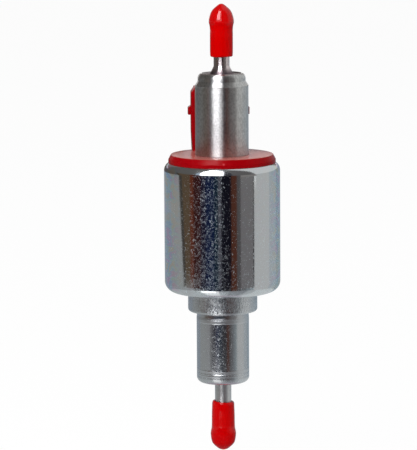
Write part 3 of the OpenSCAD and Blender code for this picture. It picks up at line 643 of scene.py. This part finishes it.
def makeTurnedMetal(name, base, dark, roughness, stretch, fine, coarse, depth, grit=0.15, filmWithPaintedLight=None):
    material, tree = newFinish(name, grooved(stretch))
    wear = turnedWear
    rings = effect(tree, "grooves", Fine=fine, Coarse=coarse)
    scratch, smudge = [made["Mask"] for made in effectsOf(tree, wear, "scratches", "smudges")]
    grains = noise(stretched(objectPoint(tree), wear["gritTall"]), wear["gritScale"])
    colour = blend(times(rings["Tone"], wear["grooveShare"]), base, dark)
    colour = blend(times(scratch, wear["scratchShare"]), colour, scaled(dark, wear["scratchDark"]))
    colour = blend(times(smudge, wear["smudgeShare"]), colour, dark)
    colour = blend(spread(grains, 0.38, 0.62, 0, grit), colour, scaled(dark, wear["gritDark"]))
    rough = spread(smudge, 0, 1, roughness - wear["smoothed"], roughness + wear["dulled"])
    flat = spread(calc("ABSOLUTE", upward(tree)), 0.8, 0.97)
    rough = mixed(flat, rough, wear["faceRoughness"])  # a faced end is smoother than a side
    # painted reflection and painted shade: above the foot the colour is tinted pink, and darker on
    # the foot
    if filmWithPaintedLight:
        z = pointParts(tree)[2]
        above = spread(z, filmWithPaintedLight["foot"] - filmWithPaintedLight["soft"], filmWithPaintedLight["foot"])
        shadedShare = times(spread(z, filmWithPaintedLight["faded"], filmWithPaintedLight["foot"]), above)
        tone = blend(shadedShare, filmWithPaintedLight["thin"], filmWithPaintedLight["shadedReflectionTint"])
        colour = blend(above, colour, blend(1, colour, tone, "MULTIPLY"))
        rough = plus(rough, spread(z, *filmWithPaintedLight["dulling"]))
        rough = mixed(shadedShare, rough, filmWithPaintedLight["roughness"])
    return lead(material, colour=colour, roughness=rough, tangent=aroundAxis(tree),
                normal=relief(rings["Height"], depth))


# the collar was turned before it was plated, so it mirrors up and down along its grooves
collarLook = {
    "base": (0.6, 0.62, 0.635), "speck": (0.97, 0.99, 1), "roughness": 0.24, "speckRoughness": 0.52,
    "grooveShare": 0.6, "grooveDark": 0.7, "grooveDepth": 0.000014, "speckShare": 0.8,
    "speckHeight": 0.00013, "grooves": {"Fine": 3000, "Coarse": 800},
    "specks": {"Scale": 1400, "Thickness": 0.06, "Patches": 700, "Cover": 0.525, "Grains": 1},
}


def makeCollarZinc(look):
    material, tree = newFinish("collarZinc", grooved(1))
    specks, rings = effectsOf(tree, look, "specks", "grooves")
    shade = blend(times(rings["Tone"], look["grooveShare"]), look["base"],
                  scaled(look["base"], look["grooveDark"]))
    return lead(material, tangent=aroundAxis(tree),
                colour=blend(times(specks["Mask"], look["speckShare"]), shade, look["speck"]),
                roughness=mixed(specks["Mask"], look["roughness"], look["speckRoughness"]),
                normal=relief(specks["Height"], look["speckHeight"],
                              relief(rings["Height"], look["grooveDepth"])))


# gate is the small round mark where the moulding was fed; its place and size are in metres;
# paleTopTone is a painted sheen on the upward faces, with a little dust
redMouldingLook = {
    "grain": {"Scale": 2600, "Colour": (0.235, 0, 0.002), "Worn": (0.27, 0.002, 0.004),
              "Wear": 0.35},
    "gateAt": (-0.00075, -0.0159, 0.0203), "gateSize": 0.00045, "gateShare": 0.5,
    "gateTone": (0.55, 0.07, 0.08), "gateHeight": 0.00008, "paleTopTone": (0.66, 0.3, 0.25),
    "paleTopShare": 0.42, "roughness": (0.2, 0.3), "topRoughness": 0.14, "grainHeight": 0.00001,
}


def makeRedMoulding(look):
    material, tree = newFinish("redMoulding", {"Specular IOR Level": 0.04})
    grain = effect(tree, "grain", **look["grain"])
    far = put("VectorMath", {0: objectPoint(tree), 1: look["gateAt"]}, operation="DISTANCE")
    gate = spread(far.outputs["Value"], look["gateSize"], look["gateSize"] * 0.6)
    colour = blend(times(gate, look["gateShare"]), grain["Colour"], look["gateTone"])
    # painted sheen: upward faces are painted paler for the bright backdrop they mirror at a grazing
    # angle, with a little dust
    up = spread(upward(tree), 0.75, 0.98)
    colour = blend(times(up, look["paleTopShare"]), colour, look["paleTopTone"])
    rough = spread(grain["Mask"], 0, look["grain"]["Wear"], *look["roughness"])
    return lead(material, colour=colour, roughness=mixed(up, rough, look["topRoughness"]),
                normal=relief(grain["Height"], look["grainHeight"], relief(gate, look["gateHeight"])))


# the vinyl shines where it is stretched: the outlet cap's dome, and rings on the inlet cap, each
# with its height and reach
redVinylLook = {
    "grain": {"Scale": 900, "Colour": (0.445, 0, 0), "Worn": (0.41, 0, 0.001), "Wear": 0.6},
    "smudges": {"Scale": 240}, "roughness": (0.06, 0.08), "shine": 0.44,
    "shinyFrom": 0.0603, "shinySoft": 0.001, "shinyRings": ((-0.0626, 0.0013), (-0.0545, 0.0007)),
    "waveScale": 120, "waveDepth": 0.000006, "grainHeight": 0.0000006,
}


def makeRedVinyl(look):
    material, tree = newFinish("redVinyl", {"Specular IOR Level": 0.07, "Coat Roughness": 0.04})
    grain, smudges = effectsOf(tree, look, "grain", "smudges")
    z = pointParts(tree)[2]
    shine = spread(z, look["shinyFrom"], look["shinyFrom"] + look["shinySoft"], 0, look["shine"])
    for height, reach in look["shinyRings"]:
        away = calc("ABSOLUTE", minus(z, height))
        shine = larger(shine, spread(away, reach, reach * 0.3, 0, look["shine"]))
    wavy = relief(noise(objectPoint(tree), look["waveScale"], 0), look["waveDepth"])
    return lead(material, colour=grain["Colour"], coat=shine,
                roughness=spread(smudges["Mask"], 0, 1, *look["roughness"]),
                normal=relief(grain["Height"], look["grainHeight"], wavy))


def makePlainMetal(name, base, dark, roughness, scratchWidth=0.02):
    material, tree = newFinish(name, {"Metallic": 1})
    rings = effect(tree, "grooves", Fine=3800, Coarse=700)
    scratch = effect(tree, "scratches", Scale=240, Width=scratchWidth, Broken=0.48)["Mask"]
    smudge = effect(tree, "smudges", Scale=160)["Mask"]
    colour = blend(times(smudge, 0.6), base, dark)
    colour = blend(times(scratch, 0.4), colour, scaled(base, 1.3))
    return lead(material, colour=colour, roughness=spread(smudge, 0, 1, roughness, roughness + 0.14),
                normal=relief(rings["Height"], 0.000006))


def makePlainMoulding(name, base, worn, roughness, wear=0.4, scale=2400):
    material, tree = newFinish(name, {})
    grain = effect(tree, "grain", Scale=scale, Colour=base, Worn=worn, Wear=wear)
    smudge = effect(tree, "smudges", Scale=140)["Mask"]
    return lead(material, colour=grain["Colour"],
                roughness=spread(smudge, 0, 1, roughness, min(1, roughness + 0.18)),
                normal=relief(grain["Height"], 0.00002))


def makeCopperWire():
    material, tree = newFinish("copperWire", {"Metallic": 0.9, "Coat Roughness": 0.12})
    turns = effect(tree, "turns", Pitch=0.00028, First=(0.42, 0.13, 0.045), Second=(0.62, 0.24, 0.09))
    smudge = effect(tree, "smudges", Scale=120)["Mask"]
    return lead(material, colour=turns["Colour"], roughness=spread(smudge, 0, 1, 0.24, 0.4),
                coat=spread(smudge, 0, 1, 0.7, 0.4), normal=relief(turns["Height"], 0.0001))


def makeInsulatingFilm():
    material, tree = newFinish("insulatingFilm", {"Coat Roughness": 0.08})
    grain = effect(tree, "grain", Scale=700, Colour=(0.62, 0.36, 0.06), Worn=(0.5, 0.24, 0.03),
                   Wear=0.9)
    x, y, z = pointParts(tree)
    around = calc("DIVIDE", calc("ARCTAN2", y, x), 2 * pi)
    lap = calc("FRACT", plus(calc("DIVIDE", z, 0.009), around))  # wound as a tape
    edge = spread(lap, 0, 0.03, 1, 0)
    return lead(material, colour=blend(times(edge, 0.6), grain["Colour"], (0.28, 0.12, 0.01)),
                roughness=spread(grain["Mask"], 0, 0.9, 0.22, 0.4),
                coat=spread(grain["Mask"], 0, 0.9, 0.8, 0.4), normal=relief(lap, 0.00008))


def makeNylonMesh():
    material, tree = newFinish("nylonMesh", {})
    weave = effect(tree, "weave", Across=5200, Around=42)
    grain = effect(tree, "grain", Scale=1500, Colour=(0.8, 0.78, 0.7), Worn=(0.66, 0.6, 0.46),
                   Wear=0.5)
    return lead(material, colour=grain["Colour"], roughness=spread(grain["Mask"], 0, 0.5, 0.42, 0.6),
                alpha=weave["Alpha"], normal=relief(weave["Height"], 0.0001))


# a pinkish painted reflection on the outlet spigot above its flared foot, darker on the foot itself
# as painted shade, laid on as a film that also dulls it; dulling makes the inlet spigot the duller
# one
spigotFootPaintedReflection = {
    "foot": 0.0461, "faded": 0.0478, "soft": 0.001, "thin": (1, 0.88, 0.88),
    "shadedReflectionTint": (0.42, 0.33, 0.37), "roughness": 0.68, "dulling": (-0.05, 0.045, 0.07, -0.06),
}

finishes = {
    "bright_zinc": makeBrightZinc(brightZincLook),
    "satin_zinc": makeSatinZinc(satinZincLook),
    "satin_steel": makeTurnedMetal("satinSteel", (0.64, 0.64, 0.63), (0.52, 0.52, 0.51), 0.335,
                                   stretch=0.97, fine=5200, coarse=800, depth=0.000004, grit=0.5),
    "turned_steel": makeTurnedMetal("turnedSteel", (0.66, 0.66, 0.65), (0.54, 0.54, 0.54), 0.29,
                                    stretch=0.95, fine=4200, coarse=1100, depth=0.000008,
                                    filmWithPaintedLight=spigotFootPaintedReflection),
    "red_moulding": makeRedMoulding(redMouldingLook),
    "red_vinyl": makeRedVinyl(redVinylLook),
    "tinned_brass": makePlainMetal("tinnedBrass", (0.72, 0.7, 0.62), (0.6, 0.55, 0.42), 0.26),
    "brass": makePlainMetal("brass", (0.78, 0.56, 0.25), (0.6, 0.4, 0.16), 0.22),
    "black_nylon": makePlainMoulding("blackNylon", (0.028, 0.028, 0.03), (0.055, 0.055, 0.055), 0.45),
    "copper_wire": makeCopperWire(),
    "insulating_film": makeInsulatingFilm(),
    "soft_iron": makeTurnedMetal("softIron", (0.46, 0.47, 0.48), (0.34, 0.34, 0.34), 0.34,
                                 stretch=0.6, fine=3600, coarse=600, depth=0.000008),
    "ground_steel": makePlainMetal("groundSteel", (0.7, 0.7, 0.71), (0.6, 0.6, 0.6), 0.12, 0.01),
    "spring_steel": makePlainMetal("springSteel", (0.58, 0.57, 0.55), (0.4, 0.38, 0.36), 0.24),
    "black_rubber": makePlainMoulding("blackRubber", (0.02, 0.02, 0.021), (0.045, 0.044, 0.042),
                                      0.55, 0.6, 1800),
    "brown_rubber": makePlainMoulding("brownRubber", (0.17, 0.07, 0.035), (0.24, 0.12, 0.07),
                                      0.5, 0.6, 1800),
    "white_acetal": makePlainMoulding("whiteAcetal", (0.83, 0.82, 0.76), (0.7, 0.66, 0.55), 0.38),
    "nylon_mesh": makeNylonMesh(),
}
slotOf = {name: node.data.materials[0].name.split(".")[0] for name, node in nodes.items()}
for name, node in nodes.items():
    node.material_slots[0].link = "OBJECT"
    node.material_slots[0].material = finishes[slotOf[name]]
nodes["pole_collar"].material_slots[0].material = makeCollarZinc(collarLook)
print("finishes made:", len(finishes))


# mesh helpers: turned outlines, given as radius and height in mm

def arc(across, up, radius, first, last, steps, high=None):
    # points on an arc between two angles in radians; high is its upright radius if it is oval
    angles = [first + (last - first) * k / steps for k in range(steps + 1)]
    return [(across + radius * cos(a), up + (high or radius) * sin(a)) for a in angles]


def filleted(corners, steps=4):
    # rounds each corner (r, z, radius) of a closed outline
    outline, count = [], len(corners)
    for i in range(count):
        here = Vector(corners[i][:2])
        radius = corners[i][2] if len(corners[i]) > 2 else 0
        if radius <= 0:
            outline.append(tuple(here))
            continue
        before, after = Vector(corners[i - 1][:2]) - here, Vector(corners[(i + 1) % count][:2]) - here
        most = 0.45  # of the way to the next corner
        cut = min(radius / tan(before.angle(after) / 2), before.length * most, after.length * most)
        first, last = here + before.normalized() * cut, here + after.normalized() * cut
        for k in range(steps + 1):
            t = k / steps
            outline.append(tuple(first * (1 - t) ** 2 + here * 2 * t * (1 - t) + last * t * t))
    return outline


def finishMesh(piece, sharpAngle, bevel=0):
    shape = bmesh.new()
    shape.from_mesh(piece.data)
    if bevel:
        bmesh.ops.recalc_face_normals(shape, faces=shape.faces)
        bmesh.ops.bevel(shape, geom=list(shape.edges), offset=bevel * mm, segments=3, affect="EDGES",
                        profile=0.6)
    bmesh.ops.remove_doubles(shape, verts=shape.verts, dist=1e-7)
    bmesh.ops.recalc_face_normals(shape, faces=shape.faces)
    shape.to_mesh(piece.data)
    shape.free()
    piece.data.shade_smooth()
    piece.data.set_sharp_from_angle(angle=radians(sharpAngle))
    return piece


def lathe(name, outline, material, steps, sway=None, sharpAngle=40):
    # turns a closed outline; sway moves its points a little, so a soft piece isn't perfectly round
    points, faces, rings = [], [], []
    for r, z in outline:
        if r < 0.02:  # on the axis
            rings.append([len(points)])
            points.append((0, 0, z))
            continue
        rings.append(list(range(len(points), len(points) + steps)))
        for k in range(steps):
            a = 2 * pi * k / steps
            dr, dz = sway(a, r, z) if sway else (0, 0)
            points.append(((r + dr) * cos(a), (r + dr) * sin(a), z + dz))
    for low, high in zip(rings, rings[1:] + rings[:1]):
        for k in range(steps):
            n = (k + 1) % steps
            if len(low) == 1 and len(high) == 1:
                break
            if len(low) == 1:
                faces.append((low[0], high[k], high[n]))
            elif len(high) == 1:
                faces.append((low[k], high[0], low[n]))
            else:
                faces.append((low[k], low[n], high[n], high[k]))
    return finishMesh(meshObject(name, points, faces, material), sharpAngle)


def standIn(piece, node, body):
    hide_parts(node)
    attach(piece, body)
    return piece


# the outlet barrel, rolled in at the top over the spigot's shoulder

barrel = {
    "radius": 8.05, "bottom": 4, "coneFoot": 42.438, "bead": 0.07, "beadFoot": 42.218,
    "beadFrom": 42.338, "coneFrom": 42.568, "coneIn": 0.06, "neckRadius": 7.2, "neckFoot": 43.838,
    "top": 46.138, "rimHeight": 1.6, "rimWidth": 1.1, "bore": 6.8, "neckBore": 5.95,
    "innerShoulder": 42.138, "innerCone": 42.838,
}


def makeBarrel(b):
    radius, bead, neck, top = b["radius"], b["radius"] + b["bead"], b["neckRadius"], b["top"]
    wide, tall = b["rimWidth"], b["rimHeight"]
    rim = arc(neck - wide, top - tall, wide, 0, pi / 2, 6, tall)
    corners = [(b["bore"], b["bottom"], 0.1), (radius, b["bottom"], 0.15),
               (radius, b["beadFoot"], 0.05), (bead, b["beadFrom"], 0.04),
               (bead, b["coneFoot"], 0.04), (radius - b["coneIn"], b["coneFrom"], 0.05),
               (neck, b["neckFoot"], 0.35),
               *[(r, z, 0.12) for r, z in rim], (b["neckBore"], top, 0.05),
               (b["neckBore"], b["innerCone"]), (b["bore"], b["innerShoulder"])]
    return lathe("outletBarrelShell", filleted(corners, 3), finishes["satin_steel"], steps=160)


standIn(makeBarrel(barrel), "outlet_barrel", "pump")
print("outlet barrel made")


# the outlet spigot: pressed disc, flared foot, tube and olive

spigot = {
    "tube": 2.4, "bore": 1.2, "discBottom": 38.838, "shoulder": 42.038, "face": 45.938, "disc": 6.77,
    "faceRadius": 5.92, "flareRadius": 3.55, "flareHeight": 2.5, "flarePower": 1.2,
    "grooveMiddle": 40.438, "grooveHalf": 0.58, "grooveRadius": 5.67, "olive": 2.9,
    "oliveAt": 61.638, "end": 64.538, "bevel": 0.4, "curveSteps": 12,
}


def makeOutletSpigot(s):
    disc, tube, end, bevel, steps = s["disc"], s["tube"], s["end"], s["bevel"], s["curveSteps"]
    low, high = s["grooveMiddle"] - s["grooveHalf"], s["grooveMiddle"] + s["grooveHalf"]
    corners = [(s["bore"], s["discBottom"]), (disc, s["discBottom"], 0.15), (disc, low, 0.08),
               (s["grooveRadius"], low, 0.1), (s["grooveRadius"], high, 0.1), (disc, high, 0.08),
               (disc, s["shoulder"], 0.1), (s["faceRadius"], s["shoulder"]),
               (s["faceRadius"], s["face"], 0.1)]
    for k in range(steps + 1):
        t = k / steps
        corners.append((tube + (s["flareRadius"] - tube) * (1 - t) ** s["flarePower"],
                        s["face"] + s["flareHeight"] * t, 0.08))
    reach = acos(tube / s["olive"])
    corners += [(r, z, 0.06) for r, z in arc(0, s["oliveAt"], s["olive"], -reach, reach, steps)]
    corners += [(tube, end - bevel, 0.1), (tube - bevel, end, 0.1), (s["bore"], end, 0.08)]
    return lathe("outletSpigotTube", filleted(corners, 2), finishes["turned_steel"], steps=112)


standIn(makeOutletSpigot(spigot), "outlet_spigot", "pump")
print("outlet spigot made")


# the two soft caps, stretched over the olives: wall and dome are given as radius and height above
# the olive's middle, and turned is -1 for the cap that opens upwards

outletCapShape = {
    "tube": 2.4, "open": 51.04, "end": 64.538, "olive": 61.638, "turned": 1, "rim": (0.5, 0.45),
    "wall": ((3.31, -9.9), (3.35, -8.5), (3.35, -3), (3.37, -2.1), (3.42, -1.55), (3.47, -1.2),
             (3.56, -0.85), (3.65, -0.52), (3.70, -0.2)),
    "dome": ((3.705, 0.1), (3.68, 0.5), (3.6, 0.9), (3.52, 1.25), (3.43, 1.6), (3.3, 2.05),
             (3.16, 2.45), (2.96, 2.85), (2.66, 3.35), (2.22, 3.82), (1.72, 4.26), (1.3, 4.62),
             (0.86, 4.96), (0.45, 5.19), (0, 5.28)),
    "lean": 0, "phase": 0.6,
}
inletCapShape = {
    "tube": 2.5, "open": 54.1, "end": 66.6, "olive": 63.7, "turned": -1, "rim": (0.55, 1),
    "wall": ((3.3, -8.1), (3.36, -6.6), (3.4, -5), (3.41, -3.2), (3.44, -2), (3.48, -1.5),
             (3.55, -1), (3.645, -0.62), (3.725, -0.05), (3.765, 0.35)),
    "dome": ((3.77, 0.6), (3.74, 0.95), (3.7, 1.3), (3.64, 1.85), (3.53, 2.45), (3.37, 3.05),
             (3.18, 3.42), (2.95, 3.72), (2.68, 4.05), (2.34, 4.36), (1.99, 4.67), (1.62, 4.98),
             (1.24, 5.22), (0.72, 5.46), (0.35, 5.58), (0, 5.62)),
    "lean": 0.16, "phase": 2.1,
}
capWall = {
    "gap": 0.05, "oliveRadius": 2.9, "bevel": 0.4, "room": 0.5, "stretch": 1.025, "rimSteps": 8,
    "mouth": ((0, 0.25), (0.08, 0.06), (0.25, 0)), "wave": 0.016, "ripple": 0.006,
    "tiltReach": 1.6, "tilt": 0.06,
}


def throughPoints(points, steps):
    # a smooth curve through the given points
    curve = []
    for i in range(len(points) - 1):
        a, b = Vector(points[max(i - 1, 0)]), Vector(points[i])
        c, d = Vector(points[i + 1]), Vector(points[min(i + 2, len(points) - 1)])
        for k in range(steps):
            t = k / steps
            curve.append(tuple(0.5 * (2 * b + (c - a) * t + (2 * a - 5 * b + 4 * c - d) * t * t
                                      + (3 * b - a - 3 * c + d) * t ** 3)))
    return curve + [tuple(points[-1])]


def makeSoftCap(name, shape, wall):
    olive, opening, side, phase = shape["olive"], shape["open"], shape["turned"], shape["phase"]
    bore, oliveBore = shape["tube"] + wall["gap"], wall["oliveRadius"] + wall["gap"]
    rimIn, rimUp = shape["rim"]
    start, stretch = shape["wall"][0][0] * wall["stretch"], wall["stretch"]
    outside = []
    for k in range(wall["rimSteps"]):
        a = pi / 2 * k / wall["rimSteps"]
        outside.append((start - rimIn * (1 - sin(a)), opening + rimUp * (1 - cos(a))))
    outside += throughPoints([(r * stretch, olive + z) for r, z in shape["wall"] + shape["dome"]], 4)
    reach = acos(bore / oliveBore)
    inside = [(0, shape["end"] + wall["room"]), (bore - wall["bevel"], shape["end"] + wall["gap"]),
              (bore, shape["end"] - wall["bevel"]), *arc(0, olive, oliveBore, reach, -reach, 10),
              *[(bore + wider, opening + up) for wider, up in wall["mouth"]]]

    def sway(a, r, z):
        # dipped vinyl: a slightly uneven wall, and a rim that isn't quite square
        edge = max(0, 1 - abs(z - side * opening) / wall["tiltReach"])
        oval = sin(2 * a + phase)
        soft = wall["wave"] * oval + wall["ripple"] * sin(3 * a - z * 0.4 + phase)
        tilt = -side * edge * wall["tilt"] * oval - edge * shape["lean"] * cos(a)
        return soft * min(1, r / 2), tilt

    outline = [(r, side * z) for r, z in outside + inside]
    return lathe(name, outline, finishes["red_vinyl"], 112, sway, sharpAngle=60)


standIn(makeSoftCap("outletCapSkin", outletCapShape, capWall), "outlet_cap", "outlet_cap")
standIn(makeSoftCap("inletCapSkin", inletCapShape, capWall), "inlet_cap", "inlet_cap")
print("soft caps made")


# the red flange with its plug socket, one moulding

flange = {
    "bore": 8.15, "keyBottom": 15.13, "key": 15.9, "keyTop": 16.7, "throat": 15.4, "throatTop": 17.8,
    "lipTop": 19.438, "rollRadius": 2.73, "rollAt": (14.8, 16.8), "rollStart": 75.15,
    "rollEnd": 59.1, "rim": 16.2, "slopeFoot": 20.138, "top": 21.638, "slopeWidth": 0.8,
}
socket = {
    "half": 8.55, "front": 8.6, "back": 16.4, "frontRadius": 0.6, "backRadius": 3.3, "foot": 21,
    "top": 41.038, "floor": 25.638, "waist": 0.35, "waistTop": 27.638, "leadFoot": 39.438,
    "leadWidth": 1.2, "wall": 1.3, "edge": 0.18, "slack": 0.12, "leastRadius": 0.3,
}
nub = {
    "foot": 32.438, "out": 0.8, "height": 3.15, "width": 3, "middle": 12.5, "root": 0.5,
    "flat": 0.2, "bevel": 0.12,
}


def makeFlangeDisc(f):
    roll = arc(*f["rollAt"], f["rollRadius"], radians(f["rollStart"]), radians(f["rollEnd"]), 4)
    corners = [(f["bore"], f["keyBottom"], 0.1), (f["key"], f["keyBottom"], 0.15),
               (f["key"], f["keyTop"], 0.1), (f["throat"], f["throatTop"], 0.1),
               (f["throat"], f["lipTop"]), *roll,
               (f["rim"], f["slopeFoot"], 0.22), (f["rim"] - f["slopeWidth"], f["top"], 0.22),
               (f["bore"], f["top"], 0.12)]
    return lathe("connectorFlangeDisc", filleted(corners), finishes["red_moulding"], steps=176)


def socketHalfAt(s, z):
    if z < s["waistTop"]:
        return s["half"] - s["waist"] * min(1, (s["waistTop"] - z) / (s["waistTop"] - flange["top"]))
    if z > s["leadFoot"]:
        return s["half"] - s["leadWidth"] * (z - s["leadFoot"]) / (s["top"] - s["leadFoot"])
    return s["half"]


def socketLoop(s, z, inset):
    limit = socketHalfAt(s, z) - min(inset, s["slack"])
    half, low, high = s["half"] - inset, s["front"] + inset, s["back"] - inset
    front, back = [max(s[key] - inset, s["leastRadius"]) for key in ("frontRadius", "backRadius")]
    corners = ((half - front, low + front, front, -90), (half - back, high - back, back, 0),
               (back - half, high - back, back, 90), (front - half, low + front, front, 180))
    loop = []
    for cx, cy, radius, first in corners:
        corner = arc(cx, cy, radius, radians(first), radians(first + 90), 8)
        loop += [(max(-limit, min(limit, x)), y, z) for x, y in corner]
    return loop


def makeSocketShell(s):
    edge, top, wall, floor, cut = s["edge"], s["top"], s["wall"], s["floor"], s["edge"] * 0.3
    # height and inset of each loop, up the outside, over the edge and down inside to the floor
    outside = [s["foot"], flange["top"] + 0.1, flange["top"] + 1.2, s["waistTop"] - 0.5,
               s["waistTop"] + 0.5, s["leadFoot"] - 0.2, s["leadFoot"] + 0.15, top - edge]
    levels = [(z, 0) for z in outside]
    levels += [(top - cut, cut), (top, edge), (top, wall - edge), (top - cut, wall - cut),
               (top - edge, wall), ((top + floor) / 2, wall), (floor + 0.5, wall),
               (floor + 0.14, wall + 0.14), (floor, wall + 0.5)]
    loops = [socketLoop(s, z, inset) for z, inset in levels]
    shell = meshObject("plugSocketShell", [point for loop in loops for point in loop],
                       ringFaces(len(loops), len(loops[0])), finishes["red_moulding"])
    return finishMesh(shell, sharpAngle=32)


def makeLatchNub(s, n, side):
    foot, root, tip = n["foot"], s["half"] - n["root"], s["half"] + n["out"]
    top = foot + n["height"]
    outline = [(root, foot), (tip, foot), (tip, top - n["out"] - n["flat"]), (root, top)]
    ends = n["middle"] - n["width"] / 2, n["middle"] + n["width"] / 2
    points = [(side * x, y, z) for y in ends for x, z in outline]
    faces = [(0, 1, 2, 3), (7, 6, 5, 4)]
    faces += [(k, (k + 1) % 4, (k + 1) % 4 + 4, k + 4) for k in range(4)]
    name = "latchNub" + ("Right" if side > 0 else "Left")
    return finishMesh(meshObject(name, points, faces, finishes["red_moulding"]), 50, n["bevel"])


for piece in (makeFlangeDisc(flange), makeSocketShell(socket), makeLatchNub(socket, nub, 1),
              makeLatchNub(socket, nub, -1)):
    standIn(piece, "connector_flange", "pump")
print("red flange and plug socket made")


# the two springs, as round wire; keep is the share of the length that is left when pressed

returnSpring = {
    "node": "return_spring", "joint": "plunger_slide", "wire": 0.8, "turns": 6, "keep": 0.724,
}
valveSpring = {
    "node": "valve_spring", "joint": "valve_ball_lift", "wire": 0.35, "turns": 5, "keep": 0.8,
}


def makeCoilSpring(name, s, low, high, stepsPerTurn=40, sides=12):
    wire, turns = s["wire"], s["turns"]
    mean = (high.x - low.x) / 2 / mm - wire / 2
    length = (high.z - low.z) / mm - wire
    tight = 1.25 * wire / length  # the pitch of the closed end turns
    points = []
    for i in range(turns * stepsPerTurn + 1):
        turn = i / stepsPerTurn
        if turn < 1:
            rise = tight * turn
        elif turn > turns - 1:
            rise = 1 - tight * (turns - turn)
        else:
            rise = tight + (1 - 2 * tight) * (turn - 1) / (turns - 2)
        a = 2 * pi * turn
        for k in range(sides):
            b = 2 * pi * k / sides
            r = mean + wire / 2 * cos(b)
            points.append((r * cos(a), r * sin(a),
                           low.z / mm + wire / 2 + length * rise + wire / 2 * sin(b)))
    faces = ringFaces(turns * stepsPerTurn + 1, sides)
    return finishMesh(meshObject(name, points, faces, finishes["spring_steel"]), sharpAngle=50)


for name, shape in (("returnSpringWire", returnSpring), ("valveSpringWire", valveSpring)):
    low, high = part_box(shape["node"])
    spring = standIn(makeCoilSpring(name, shape, low, high), shape["node"], "pump")
    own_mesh(spring)
print("springs wound")
